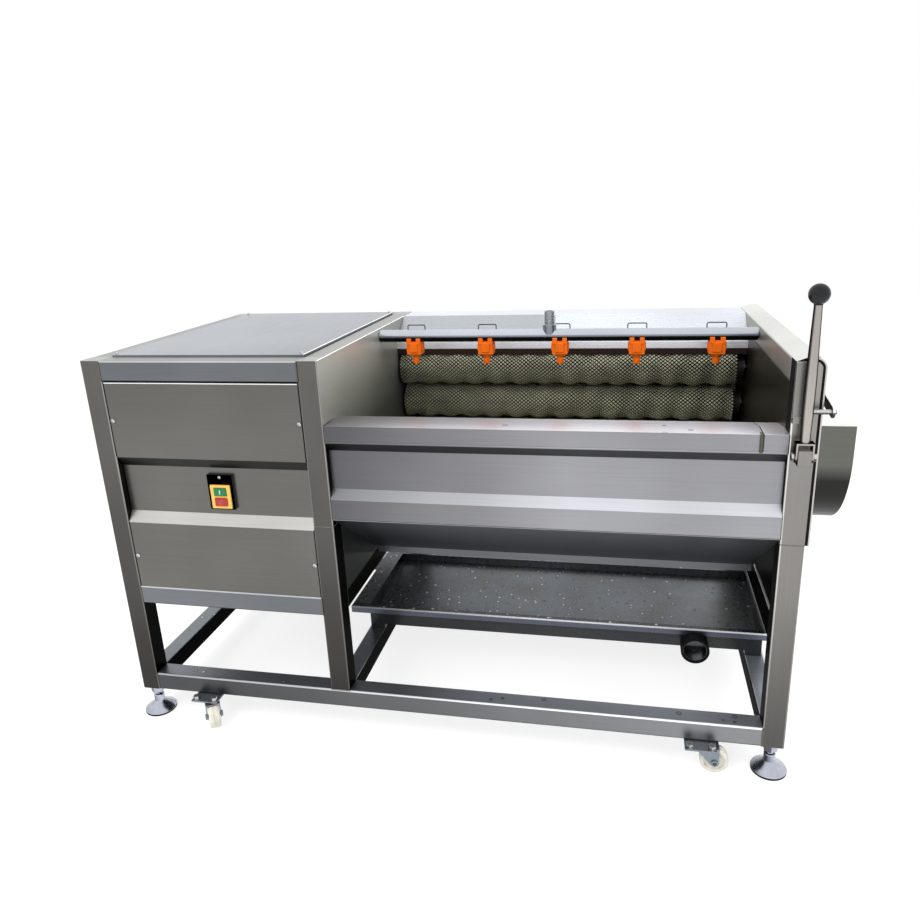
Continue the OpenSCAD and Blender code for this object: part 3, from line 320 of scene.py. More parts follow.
    @staticmethod
    def hexagon(name: str, across: float, height: float, base: Point, axis: Axis = Axis.Z,
                edge: float = 0.8) -> Piece:
        """Makes a nut or bolt head: a six-sided prism with its corners taken off.

        Args:
            name: The piece's name.
            across: Width over the flats in millimetres.
            height: Height along the axis; a negative one goes the other way.
            base: Centre of its seat, in drawing millimetres.
            axis: The axis it stands on.
            edge: Width of the edge rounding in millimetres.

        Returns:
            The new piece.
        """
        radius = across / 2 / math.cos(math.pi / 6) * MM
        bpy.ops.object.select_all(action="DESELECT")
        bpy.ops.mesh.primitive_cylinder_add(vertices=6, radius=radius, depth=abs(height) * MM)
        piece = bpy.context.object
        shift = Matrix.Translation((0, 0, height / 2 * MM))
        piece.data.transform(Matrix.Translation(at(*base)) @ axis.turn() @ shift)
        Bench.settle(piece, name)
        return Bench.soften(piece, edge, 2)

    @staticmethod
    def wire(name: str, path: Sequence[Point], radius: float, closed: bool = False,
             corner: float = 0.0) -> Piece:
        """Bends a round wire along a path.

        Args:
            name: The piece's name.
            path: Points in drawing millimetres.
            radius: Radius of the wire in millimetres.
            closed: Whether the ends meet.
            corner: Radius of the bends in millimetres.

        Returns:
            The new piece.
        """
        points = [at(*p) for p in path]
        if corner:
            points = Bench.rounded(points, corner * MM, closed)
        curve = bpy.data.curves.new(name, "CURVE")
        curve.dimensions = "3D"
        curve.bevel_depth = radius * MM
        curve.bevel_resolution = 3
        curve.use_fill_caps = not closed
        spline = curve.splines.new("POLY")
        spline.points.add(len(points) - 1)
        for node, point in zip(spline.points, points):
            node.co = (*point, 1.0)
        spline.use_cyclic_u = closed
        piece = bpy.data.objects.new(name, curve)
        bpy.context.scene.collection.objects.link(piece)
        Bench.hold(piece)
        bpy.ops.object.convert(target="MESH")
        return Bench.smooth(bpy.context.object, 60)

    @staticmethod
    def rounded(points: Sequence[Vector], radius: float, closed: bool) -> list[Vector]:
        """Replaces each corner of a path with a short arc.

        Args:
            points: The path in metres.
            radius: Distance from a corner to where its arc starts.
            closed: Whether the path's ends meet.

        Returns:
            The longer path.
        """
        out: list[Vector] = []
        count = len(points)
        for i, point in enumerate(points):
            if not closed and i in (0, count - 1):
                out.append(point)
                continue
            start = point + (points[i - 1] - point).normalized() * radius
            end = point + (points[(i + 1) % count] - point).normalized() * radius
            for t in (0.0, 0.2, 0.4, 0.6, 0.8, 1.0):
                out.append(start * (1 - t) ** 2 + point * 2 * t * (1 - t) + end * t * t)
        return out

    @staticmethod
    def join(name: str, pieces: Sequence[Piece]) -> Piece:
        """Joins several pieces into one and returns it."""
        Bench.hold(pieces[0])
        for piece in pieces[1:]:
            piece.select_set(True)
        bpy.ops.object.join()
        pieces[0].name = name
        pieces[0].data.name = name
        return pieces[0]

    @staticmethod
    def copy(piece: Piece, name: str, move: Matrix) -> Piece:
        """Copies a piece with its own mesh, moved by a matrix, and returns the copy."""
        twin = piece.copy()
        twin.data = piece.data.copy()
        twin.data.transform(move)
        twin.name = name
        twin.data.name = name
        bpy.context.scene.collection.objects.link(twin)
        return twin

    @staticmethod
    def tilt(piece: Piece, point: Point, angle: float, axis: Axis = Axis.X) -> Piece:
        """Turns a piece's mesh round an axis through a point.

        Args:
            piece: The piece to turn.
            point: A point of the axis.
            angle: The turn in degrees.
            axis: Which way the axis runs.

        Returns:
            The same piece.
        """
        pivot = Matrix.Translation(at(*point))
        piece.data.transform(pivot @ Matrix.Rotation(math.radians(angle), 4, axis.name) @ pivot.inverted())
        return piece

    @staticmethod
    def from_node(nodes: dict[str, Piece], node: str, name: str,
                  dissolve: bool = True) -> Piece:
        """Copies a CAD node's mesh, merges its loose triangles and parts solids that only touch.

        Args:
            nodes: The frame's nodes.
            node: The node to copy.
            name: The new piece's name.
            dissolve: Whether the seams inside flat faces are cleared.

        Returns:
            The copy, free of the frame.
        """
        piece = bpy.data.objects.new(name, nodes[node].data.copy())
        piece.data.name = name
        piece.data.materials.clear()
        bpy.context.scene.collection.objects.link(piece)
        if piece.data.has_custom_normals:
            Bench.hold(piece)
            bpy.ops.mesh.customdata_custom_splitnormals_clear()
        with Bench.editing(piece):
            bpy.ops.mesh.remove_doubles(threshold=2e-6)
            if dissolve:
                bpy.ops.mesh.dissolve_limited(angle_limit=math.radians(0.6))
            bpy.ops.mesh.select_mode(type="EDGE")
            bpy.ops.mesh.select_all(action="DESELECT")
            bpy.ops.mesh.select_non_manifold(
                extend=False, use_wire=False, use_boundary=False, use_multi_face=True,
                use_non_contiguous=False, use_verts=False,
            )
            bpy.ops.mesh.edge_split(type="EDGE")
            bpy.ops.mesh.select_mode(type="VERT")
        return piece

    @staticmethod
    def cut(piece: Piece, point: Point, normal: Point) -> Piece:
        """Saws off what lies on a plane's outer side and closes the cut.

        Args:
            piece: The piece to change.
            point: A point of the plane in drawing millimetres.
            normal: The side that is taken away.

        Returns:
            The same piece.
        """
        with Bench.editing(piece):
            bpy.ops.mesh.bisect(plane_co=at(*point), plane_no=normal, use_fill=True, clear_outer=True)
        return piece


class Nodes:
    """The node tree of one material, with a principled shader at its end."""

    def __init__(self, name: str) -> None:
        """Starts an empty material of that name."""
        self.material = bpy.data.materials.new(name)
        self.material.use_nodes = True
        self.tree = self.material.node_tree
        self.tree.nodes.clear()
        self.output = self.add("ShaderNodeOutputMaterial")
        self.shader = self.add("ShaderNodeBsdfPrincipled")
        self.link(self.shader.outputs[0], self.output.inputs["Surface"])
        coords = self.add("ShaderNodeTexCoord")
        self.place = coords.outputs["Object"]
        self.facing = coords.outputs["Normal"]

    def add(self, kind: str, **settings: object) -> bpy.types.Node:
        """Adds a node and sets its own properties."""
        node = self.tree.nodes.new(kind)
        for key, value in settings.items():
            setattr(node, key, value)
        return node

    def link(self, source: Socket, target: Socket) -> None:
        """Connects two sockets."""
        self.tree.links.new(source, target)

    def noise(self, stretch: Point, detail: float = 2.0, rough: float = 0.5) -> Socket:
        """Adds a noise pattern on object coordinates.

        Args:
            stretch: Repeats per metre along each axis.
            detail: Octaves of the noise.
            rough: Weight of the finer octaves.

        Returns:
            The pattern's value from 0 to 1.
        """
        mapping = self.add("ShaderNodeMapping")
        mapping.inputs["Scale"].default_value = stretch
        self.link(self.place, mapping.inputs["Vector"])
        texture = self.add("ShaderNodeTexNoise")
        texture.inputs["Scale"].default_value = 1.0
        texture.inputs["Detail"].default_value = detail
        texture.inputs["Roughness"].default_value = rough
        self.link(mapping.outputs[0], texture.inputs["Vector"])
        return texture.outputs["Fac"]

    def span(self, value: Socket, low: float, high: float, start: float = 0.0,
             end: float = 1.0) -> Socket:
        """Maps a value from start and end to low and high, and returns the result."""
        node = self.add("ShaderNodeMapRange")
        self.link(value, node.inputs["Value"])
        for key, number in (("From Min", start), ("From Max", end), ("To Min", low), ("To Max", high)):
            node.inputs[key].default_value = number
        return node.outputs[0]

    def times(self, a: Socket, b: Socket) -> Socket:
        """Multiplies two values."""
        node = self.add("ShaderNodeMath", operation="MULTIPLY")
        self.link(a, node.inputs[0])
        self.link(b, node.inputs[1])
        return node.outputs[0]

    def ramp(self, value: Socket, stops: Sequence[tuple[float, Colour]]) -> Socket:
        """Turns a value into a colour along some stops.

        Args:
            value: The value from 0 to 1.
            stops: Position and linear colour of each stop.

        Returns:
            The colour.
        """
        node = self.add("ShaderNodeValToRGB")
        elements = node.color_ramp.elements
        while len(elements) < len(stops):
            elements.new(0.5)
        for element, (position, colour) in zip(elements, stops):
            element.position = position
            element.color = (*colour, 1.0)
        self.link(value, node.inputs[0])
        return node.outputs["Color"]

    def mix(self, fac: Socket | float, a: Socket | Colour,
            b: Socket | Colour, blend: str = "MIX") -> Socket:
        """Mixes two colours.

        Args:
            fac: How much of the second colour is used.
            a: First colour.
            b: Second colour.
            blend: The way they are mixed.

        Returns:
            The mixed colour.
        """
        node = self.add("ShaderNodeMix", data_type="RGBA", blend_type=blend)
        for value, socket in ((fac, node.inputs[0]), (a, node.inputs[6]), (b, node.inputs[7])):
            if isinstance(value, Socket):
                self.link(value, socket)
            elif isinstance(value, tuple):
                socket.default_value = (*value, 1.0)
            else:
                socket.default_value = value
        return node.outputs[2]

    def axis_value(self, vector: Socket, axis: Axis) -> Socket:
        """Takes one axis out of a vector."""
        node = self.add("ShaderNodeSeparateXYZ")
        self.link(vector, node.inputs[0])
        return node.outputs[axis.value]

    def absolute(self, value: Socket) -> Socket:
        """Takes the sign off a value."""
        node = self.add("ShaderNodeMath", operation="ABSOLUTE")
        self.link(value, node.inputs[0])
        return node.outputs[0]

    def looks(self, axis: Axis, start: float, end: float) -> Socket:
        """Returns 0 to 1 as a face turns towards an axis, between two shares of its normal."""
        return self.span(self.axis_value(self.facing, axis), 0.0, 1.0, start, end)

    def spots(self, per_metre: float, size: float, share: float) -> Socket:
        """Scatters round spots.

        Args:
            per_metre: Cells per metre.
            size: Radius of a spot as a share of its cell.
            share: Share of the cells that hold a spot.

        Returns:
            1 inside a spot and 0 outside.
        """
        cell = self.add("ShaderNodeTexVoronoi")
        cell.inputs["Scale"].default_value = per_metre
        self.link(self.place, cell.inputs["Vector"])
        inside = self.span(cell.outputs["Distance"], 1.0, 0.0, size * 0.7, size)
        pick = self.axis_value(cell.outputs["Color"], Axis.X)
        chosen = self.add("ShaderNodeMath", operation="LESS_THAN")
        self.link(pick, chosen.inputs[0])
        chosen.inputs[1].default_value = share
        return self.times(inside, chosen.outputs[0])

    def bump(self, height: Socket, strength: float, distance: float) -> None:
        """Raises the surface by a pattern, with a distance in millimetres."""
        node = self.add("ShaderNodeBump")
        node.inputs["Strength"].default_value = strength
        node.inputs["Distance"].default_value = distance * MM
        self.link(height, node.inputs["Height"])
        self.link(node.outputs[0], self.shader.inputs["Normal"])

    def set(self, **values: float) -> None:
        """Sets plain values on the shader's own sockets."""
        for key, value in values.items():
            self.shader.inputs[key.replace("_", " ")].default_value = value


class Grain(Enum):
    """Which way a sheet or a tube was brushed: repeats per metre along each axis."""

    ALONG_X = (5.0, 420.0, 420.0)
    ALONG_Y = (420.0, 5.0, 420.0)
    ALONG_Z = (420.0, 420.0, 5.0)
    NONE = (60.0, 60.0, 60.0)


@dataclass(frozen=True)
class PaintedLightFade:
    """Painted light and shade: a slow change of tone along one axis, from start to end in drawing
    millimetres.
    """

    axis: Axis
    start: float
    end: float
    gain_start: float
    gain_end: float

    def metres(self) -> tuple[float, float]:
        """Returns start and end in the row frame."""
        shift = {Axis.X: X_SHIFT, Axis.Y: Y_SHIFT, Axis.Z: 0.0}[self.axis]
        return ((self.start - shift) * MM, (self.end - shift) * MM)


WHITE = srgb(255, 255, 255)
# Shares of a face's normal between which it turns from the front to the side, for the painted side shading
SIDEWAYS = (0.55, 0.8)
# Metres over which a tone that starts at a height comes in
SOFT_STEP = 0.008
DROPS_PER_METRE = 38.0
SPLASHES_PER_METRE = 140.0


@dataclass(frozen=True)
class Steel:
    """Brushed stainless steel, with light and shade painted into its tone by the way each face looks.

    Args:
        name: The material's name.
        level: Tone of upright faces, with their light painted in.
        up: Painted light tone of faces that look up.
        down: Painted shade tone of faces that look down.
        grain: Which way it was brushed.
        rough: Its roughness.
        streak: Strength of the brushing.
        cloud: Strength of the broad patches.
        drops: Share of the cells on level tops that hold a drop of water, whose rims and centres are painted
            shade and painted glints.
        painted_fades: Painted light and shade that changes slowly along an axis.
        side: Painted shading of faces that look left or right, which also tints their reflection.
        edge: Painted highlight on sloped faces and on rounded upper edges.
        inner: Painted shading of faces that look right, and the two heights in metres between which it shows.
        rim_highlight: Painted highlight on rounded upright edges.
        back: Painted shade on faces that look to the rear.
        stain: Colour of dried patches.
        metal: How metallic it is.
    """

    name: str
    level: Colour
    up: Colour
    down: Colour
    grain: Grain = Grain.ALONG_X
    rough: float = 0.34
    streak: float = 0.07
    cloud: float = 0.12
    drops: float = 0.0
    painted_fades: tuple[PaintedLightFade, ...] = ()
    side: Colour | None = None
    edge: Colour | None = None
    inner: tuple[Colour, float, float] | None = None
    rim_highlight: Colour | None = None
    back: Colour | None = None
    stain: Colour | None = None
    metal: float = 0.92

    def build(self) -> Material:
        """Makes the material."""
        n = Nodes(self.name)
        # Painted light and shade: the tone follows which way a face looks, with painted highlights on slopes.
        tilt = n.looks(Axis.Z, -1.0, 1.0)
        slope = self.edge or self.up
        colour = n.ramp(tilt, (
            (0.0, self.down), (0.36, self.down), (0.46, self.level), (0.54, self.level),
            (0.6, slope), (0.9, slope), (0.96, self.up), (1.0, self.up),
        ))
        streaks = n.noise(self.grain.value, 3.0, 0.6)
        clouds = n.noise((2.6, 2.6, 3.4), 2.0, 0.5)
        gain = n.times(
            n.span(streaks, 1.0 - self.streak, 1.0 + self.streak, 0.25, 0.75),
            n.span(clouds, 1.0 - self.cloud, 1.0 + self.cloud, 0.3, 0.7),
        )
        # Painted light and shade that changes slowly along an axis.
        for fade in self.painted_fades:
            start, end = fade.metres()
            place = n.axis_value(n.place, fade.axis)
            gain = n.times(gain, n.span(place, fade.gain_start, fade.gain_end, start, end))
        # Painted shading on faces that look left or right, with their reflection tinted the same way.
        if self.side:
            across = n.absolute(n.axis_value(n.facing, Axis.X))
            sideways = n.span(across, 0.0, 1.0, *SIDEWAYS)
            colour = n.mix(sideways, colour, self.side)
            n.link(n.mix(sideways, WHITE, self.side), n.shader.inputs["Specular Tint"])
        # Painted shading on faces that look right, between two heights.
        if self.inner:
            tone, low, high = self.inner
            height = n.axis_value(n.place, Axis.Z)
            above = n.span(height, 0.0, 1.0, low, low + SOFT_STEP)
            below = n.span(height, 1.0, 0.0, high, high + SOFT_STEP)
            inward = n.times(n.looks(Axis.X, *SIDEWAYS), n.times(above, below))
            colour = n.mix(inward, colour, tone)
        # Painted highlight on rounded upright edges.
        if self.rim_highlight:
            corner = n.absolute(n.times(n.axis_value(n.facing, Axis.X), n.axis_value(n.facing, Axis.Y)))
            colour = n.mix(n.span(corner, 0.0, 1.0, 0.2, 0.4), colour, self.rim_highlight)
        # Painted shade on faces that look to the rear.
        if self.back:
            colour = n.mix(n.looks(Axis.Y, 0.3, 0.6), colour, self.back)
        if self.stain:
            patches = n.noise((7.0, 11.0, 9.0), 4.0, 0.65)
            colour = n.mix(n.span(patches, 0.0, 0.7, 0.46, 0.66), colour, self.stain)
        colour = n.mix(1.0, colour, gain, "MULTIPLY")
        # Drops of water on level tops: their dark rims are painted shade and their white centres painted
        # glints; the fine pale spots are splashes.
        if self.drops:
            flat = n.span(tilt, 0.0, 1.0, 0.86, 0.94)
            drop_rim_shade = n.times(flat, n.spots(DROPS_PER_METRE, 0.3, self.drops))
            colour = n.mix(n.span(drop_rim_shade, 0.0, 0.6), colour, srgb(40, 40, 40))
            drop_glint = n.times(flat, n.spots(DROPS_PER_METRE, 0.19, self.drops))
            fine = n.times(flat, n.spots(SPLASHES_PER_METRE, 0.2, self.drops * 0.8))
            colour = n.mix(drop_glint, colour, srgb(206, 208, 205))
            colour = n.mix(fine, colour, srgb(188, 184, 170))
        n.link(colour, n.shader.inputs["Base Color"])
        n.link(n.span(streaks, self.rough - 0.08, self.rough + 0.10), n.shader.inputs["Roughness"])
        n.set(Metallic=self.metal)
        n.bump(streaks, self.streak * 1.6, 0.15)
        return n.material


@dataclass(frozen=True)
class Bright:
    """Plated or polished metal with soft smears, with a painted light side and a painted dark reflection on
    the other side.
    """

    name: str
    light: Colour
    dark: Colour
    rough: float = 0.16

    def build(self) -> Material:
        """Makes the material."""
        n = Nodes(self.name)
        # Painted light and reflection: faces turned towards this direction are light, the others dark.
        lean = n.add("ShaderNodeVectorMath", operation="DOT_PRODUCT")
        n.link(n.facing, lean.inputs[0])
        lean.inputs[1].default_value = (0.55, -0.25, 0.8)
        tilt = n.span(lean.outputs["Value"], 0.0, 1.0, -1.0, 1.0)
        smear = n.noise((38.0, 38.0, 38.0), 3.0, 0.6)
        middle = tuple((a + b) / 2 for a, b in zip(self.light, self.dark))
        colour = n.ramp(tilt, (
            (0.0, self.dark), (0.42, self.dark), (0.6, middle), (0.8, self.light), (1.0, self.light),
        ))
        colour = n.mix(1.0, colour, n.span(smear, 0.8, 1.15, 0.25, 0.75), "MULTIPLY")
        n.link(colour, n.shader.inputs["Base Color"])
        n.link(n.span(smear, self.rough, self.rough + 0.16), n.shader.inputs["Roughness"])
        n.set(Metallic=1.0)
        n.bump(smear, 0.05, 0.2)
        return n.material


@dataclass(frozen=True)
class Moulded:
    """Moulded plastic or rubber with a fine grain and a little wear."""

    name: str
    colour: Colour
    worn: Colour
    rough: float = 0.45
    grain: float = 900.0
    relief: float = 0.1
    shine: float = 0.4

    def build(self) -> Material:
        """Makes the material."""
        n = Nodes(self.name)
        fine = n.noise((self.grain,) * 3, 2.0, 0.5)
        broad = n.noise((55.0, 55.0, 55.0), 3.0, 0.6)
        colour = n.mix(n.span(broad, 0.0, 0.55, 0.45, 0.8), self.colour, self.worn)
        n.link(colour, n.shader.inputs["Base Color"])
        n.link(n.span(broad, self.rough - 0.06, self.rough + 0.10), n.shader.inputs["Roughness"])
        n.set(Specular_IOR_Level=self.shine)
        n.bump(fine, 0.25, self.relief)
        return n.material


@dataclass(frozen=True)
class Bristle:
    """Nylon bristle, with painted shade at the roots and painted light on the tips."""

    name: str
    root: Colour
    stem: Colour
    tip: Colour
    layer: str

    def build(self) -> Material:
        """Makes the material."""
        n = Nodes(self.name)
        height = n.add("ShaderNodeAttribute", attribute_name=self.layer).outputs["Fac"]
        # Painted shade down to the roots and painted light on the tips, by each point's height.
        colour = n.ramp(height, ((0.0, self.root), (0.55, self.root), (0.86, self.stem), (1.0, self.tip)))
        stain = n.noise((9.0, 26.0, 26.0), 3.0, 0.6)
        fine = n.noise((700.0, 700.0, 700.0), 2.0, 0.5)
        colour = n.mix(1.0, colour, n.span(stain, 0.72, 1.22, 0.3, 0.7), "MULTIPLY")
        colour = n.mix(1.0, colour, n.span(fine, 0.8, 1.2, 0.3, 0.7), "MULTIPLY")
        n.link(colour, n.shader.inputs["Base Color"])
        n.link(n.span(fine, 0.5, 0.75), n.shader.inputs["Roughness"])
        n.bump(fine, 0.4, 0.4)
        return n.material


SHADE = srgb(48, 47, 46)
TUFT_LAYER = "tuft_height"
# Painted light that grows towards the discharge end.
LIGHT_ALONG_FRAME = PaintedLightFade(Axis.X, 550, 1600, 0.8, 1.75)


class Finish(Enum):
    """Every finish of the washer; the steel, chrome and bristle finishes carry painted light and shade in
    their colours.
    """

    # Posts: painted shade on their sides and low down, painted light growing to the right, painted light on
    # faces that look right from 832 mm up, and painted highlights on their rounded edges.
    POST = Steel(
        "post_steel", srgb(106, 104, 101), srgb(190, 190, 189), SHADE, Grain.ALONG_Z, side=srgb(60, 60, 59),
        painted_fades=(PaintedLightFade(Axis.X, 600, 1600, 0.62, 1.6), PaintedLightFade(Axis.Z, 130, 985, 0.41, 1.5)),
        inner=(srgb(168, 166, 160), 0.832, 2.0), rim_highlight=srgb(168, 166, 162),
    )
    # Rails: painted light on their sides, growing towards the discharge end, painted highlights on their
    # upper edges, and painted shade on faces that look right below 420 mm.
    RAIL = Steel(
        "rail_steel", srgb(122, 125, 130), srgb(180, 180, 177), SHADE, painted_fades=(LIGHT_ALONG_FRAME,),
        side=srgb(176, 175, 170), edge=srgb(226, 228, 230), inner=(srgb(34, 33, 31), 0.0, 0.42),
    )
    # Base tubes: painted shade on their sides and growing to the left, painted light towards the discharge
    # end, and painted highlights along their upper edges; the drops are water.
    BASE = Steel(
        "base_steel", srgb(103, 104, 106), srgb(172, 176, 184), srgb(34, 34, 35), drops=0.3,
        painted_fades=(PaintedLightFade(Axis.X, 100, 600, 0.66, 1.0), LIGHT_ALONG_FRAME),
        side=srgb(9, 9, 10), edge=srgb(236, 238, 242),
    )
    # Cabinet panels: painted light on the folds that look up and painted shade on those that look down.
    CABINET = Steel("cabinet_steel", srgb(104, 103, 99), srgb(206, 205, 201), srgb(44, 44, 43))
    # Trough and feed rail: painted shade towards the left end and painted highlights on the sloped folds.
    TROUGH = Steel(
        "trough_steel", srgb(138, 138, 142), srgb(238, 235, 240), srgb(62, 62, 64), drops=0.03,
        painted_fades=(PaintedLightFade(Axis.X, 600, 1150, 0.4, 1.2),), edge=srgb(206, 207, 213),
    )
    HOPPER = Steel("hopper_steel", srgb(106, 107, 110), srgb(160, 162, 166), srgb(88, 92, 98))
    # Inner end wall: painted shade under the hopper and in its lower part, growing towards the rear.
    WALL = Steel(
        "end_wall_steel", srgb(206, 207, 197), srgb(176, 176, 172), SHADE, Grain.ALONG_Y,
        painted_fades=(
            PaintedLightFade(Axis.Z, 585, 605, 0.12, 1.0),
            PaintedLightFade(Axis.Z, 760, 960, 0.22, 1.0),
            PaintedLightFade(Axis.Y, 60, 600, 1.1, 0.6),
        ),
        metal=0.5,
    )
    # Outer end wall: its dark tone is painted shade.
    DARK_WALL = Steel(
        "dark_wall_steel", srgb(66, 63, 58), srgb(150, 148, 144), srgb(36, 35, 34), Grain.ALONG_Y,
    )
    # Drip tray: painted shadow on its front wall under the lip, painted shade at both ends and on its sides;
    # the stains and drops are real, with painted glints on the drops.
    TRAY = Steel(
        "tray_steel", srgb(92, 96, 104), srgb(130, 135, 142), srgb(46, 48, 53), Grain.NONE,
        rough=0.28, streak=0.03, cloud=0.3, drops=0.9,
        painted_fades=(
            PaintedLightFade(Axis.X, 540, 1050, 0.6, 1.0),
            PaintedLightFade(Axis.X, 1540, 1640, 1.0, 0.3),
            PaintedLightFade(Axis.Y, 300, 312, 0.27, 1.0),
        ),
        side=srgb(30, 30, 30), stain=srgb(116, 116, 108), metal=0.4,
    )
    # Tray lip: painted highlight along its upper edge.
    LIP = Steel(
        "lip_steel", srgb(99, 103, 115), srgb(176, 180, 188), SHADE, edge=srgb(232, 234, 238),
    )
    # Top cover: painted reflection that darkens from left to right, with painted highlights on its sloped
    # edges.
    COVER = Steel(
        "polished_cover_steel", srgb(136, 140, 146), srgb(134, 142, 152), SHADE, Grain.ALONG_Y,
        rough=0.2, streak=0.05, cloud=0.14,
        painted_fades=(PaintedLightFade(Axis.X, 60, 540, 1.14, 0.88),), edge=srgb(216, 220, 226),
    )
    # Rear panel: its near-white tone is a painted reflection, with painted shade on faces that look to the
    # rear.
    REAR = Steel(
        "rear_panel_steel", srgb(244, 246, 251), srgb(208, 212, 219), srgb(56, 56, 58),
        rough=0.26, streak=0.03, cloud=0.08, back=srgb(146, 147, 150), metal=0.6,
    )
    # Left rear sheet: its pale grey tone is a painted reflection.
    REAR_SHEET = Steel(
        "rear_sheet_steel", srgb(190, 193, 199), srgb(165, 168, 174), srgb(56, 56, 58),
        rough=0.26, streak=0.03, cloud=0.08, metal=0.6,
    )
    # Spout, gate and link: painted shade on their lower part and painted light on faces that look up.
    SPOUT = Steel(
        "spout_steel", srgb(104, 104, 99), srgb(246, 246, 243), srgb(48, 48, 46),
        painted_fades=(PaintedLightFade(Axis.Z, 520, 720, 0.45, 1.05),),
    )
    # End cover: painted shade on faces that look sideways and painted highlights on its sloped edges.
    END_PLATE = Steel(
        "end_plate_steel", srgb(196, 192, 188), srgb(232, 229, 223), srgb(48, 48, 46), Grain.ALONG_Y,
        side=srgb(110, 110, 106), edge=srgb(236, 234, 230),
    )
    # Lever mount: painted shade on its sides.
    BRACKET = Steel(
        "bracket_steel", srgb(142, 140, 136), srgb(226, 224, 220), SHADE, Grain.ALONG_Z, side=SHADE,
    )
    # Splash plate: its faces look sideways and take painted shade; the darker patches are stains.
    SPLASH = Steel(
        "splash_steel", srgb(50, 47, 43), srgb(120, 118, 114), SHADE, Grain.ALONG_Y,
        side=srgb(40, 36, 32), stain=srgb(24, 22, 20),
    )
    # Lever: painted shade on its flanks, so that the rod looks lit from the front.
    LEVER = Steel(
        "lever_steel", srgb(172, 166, 161), srgb(206, 202, 198), SHADE, Grain.ALONG_Z, 0.3,
        side=srgb(66, 62, 60),
    )
    PIPE = Steel(
        "pipe_steel", srgb(138, 142, 152), srgb(200, 204, 212), srgb(40, 40, 43), rough=0.25, streak=0.03,
    )
    ZINC = Steel("zinc_plate", srgb(130, 138, 146), srgb(156, 161, 165), srgb(40, 41, 43), Grain.NONE, 0.36)
    OILED = Steel("oiled_steel", srgb(92, 88, 82), srgb(110, 106, 98), srgb(44, 42, 40), Grain.NONE, 0.4)
    WELD = Steel("weld_bead", srgb(112, 105, 96), srgb(146, 141, 134), srgb(60, 56, 52), Grain.NONE, 0.42)
    # Feet and screws: a painted light side and a painted dark reflection on the other.
    CHROME = Bright("foot_chrome", srgb(190, 194, 206), srgb(52, 52, 54))
    SCREW = Bright("screw_steel", srgb(214, 214, 214), srgb(96, 96, 96), 0.24)
    # Painted highlight: near-white strips, darker towards the left.
    HEM = Steel(
        "hem_steel", srgb(232, 234, 239), srgb(246, 247, 249), SHADE, rough=0.3, streak=0.03,
        painted_fades=(PaintedLightFade(Axis.X, 560, 1000, 0.4, 1.0),), metal=0.15,
    )
    # Painted highlight: near-white strips for bright edge lines, also on the inlet thread.
    EDGE = Steel(
        "edge_steel", srgb(214, 215, 214), srgb(246, 246, 244), SHADE, Grain.ALONG_Y, 0.3, 0.03, metal=0.15,
    )
    # Painted shadow: a dark strip over the top of the first roller.
    SKIRT = Moulded("guard_skirt_rubber", srgb(46, 34, 30), srgb(34, 26, 24), 0.6, 400.0, 0.2, 0.12)
    RUBBER = Moulded("black_rubber", srgb(13, 13, 14), srgb(24, 24, 24), 0.6, 500.0, 0.2, 0.12)
    SWITCH_BLACK = Moulded("switch_black", srgb(24, 24, 28), srgb(38, 38, 42), 0.38)
    KNOB_BLACK = Moulded("knob_black", srgb(20, 22, 24), srgb(30, 32, 34), 0.2, 400.0, 0.03, 0.3)
    WIRE = Moulded("bail_wire", srgb(44, 44, 46), srgb(62, 62, 64), 0.4, 300.0, 0.05)
    YELLOW = Moulded("bezel_yellow", srgb(230, 184, 86), srgb(214, 172, 96), 0.4)
    GREEN = Moulded("start_green", srgb(24, 112, 66), srgb(40, 128, 82), 0.35)
    RED = Moulded("stop_red", srgb(164, 42, 36), srgb(180, 62, 52), 0.35)
    MARK_WHITE = Moulded("mark_white", srgb(226, 226, 220), srgb(206, 206, 198), 0.5)
    ORANGE = Moulded("nozzle_orange", srgb(234, 106, 14), srgb(212, 90, 10), 0.5, 700.0, 0.1, 0.25)
    NYLON = Moulded("wheel_nylon", srgb(222, 220, 206), srgb(176, 172, 156), 0.5, 300.0, 0.15)
    MOTOR = Moulded("motor_paint", srgb(70, 86, 100), srgb(58, 70, 82), 0.4, 260.0, 0.2)
    BEARING = Moulded("bearing_paint", srgb(52, 62, 56), srgb(40, 46, 42), 0.45, 220.0, 0.3)
    # Bristles: painted shade towards the roots and painted light on the tips.
    BRUSH = Bristle("brush_nylon", srgb(28, 27, 24), srgb(76, 75, 63), srgb(168, 168, 144), TUFT_LAYER)

    def material(self) -> Material:
        """Returns the finish's material, made at its first use."""
        return bpy.data.materials.get(self.value.name) or self.value.build()


@dataclass
class Washer:
    """The loaded frame, and the record of each piece that is put on it."""

    nodes: dict[str, Piece]
    made: list[str] = field(default_factory=list)

    def put(self, piece: Piece, finish: Finish, body: str, *replaced: str, slot: str = "") -> None:
        """Finishes a piece and puts it on its body.

        Args:
            piece: The finished mesh.
            finish: What it is made of.
            body: The CAD body that it rides on.
            replaced: The CAD nodes that it stands for.
            slot: The record's material slot; not used.
        """
        piece.data.materials.clear()
        piece.data.materials.append(finish.material())
        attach(piece, body)
        if replaced:
            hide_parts(*replaced)
        self.made.append(piece.name)
        log.info("%s rides on %s, %d faces", piece.name, body, len(piece.data.polygons))

    def copy_node(self, node: str, name: str, dissolve: bool = True) -> Piece:
        """Returns a merged copy of a CAD node's mesh."""
        return Bench.from_node(self.nodes, node, name, dissolve)


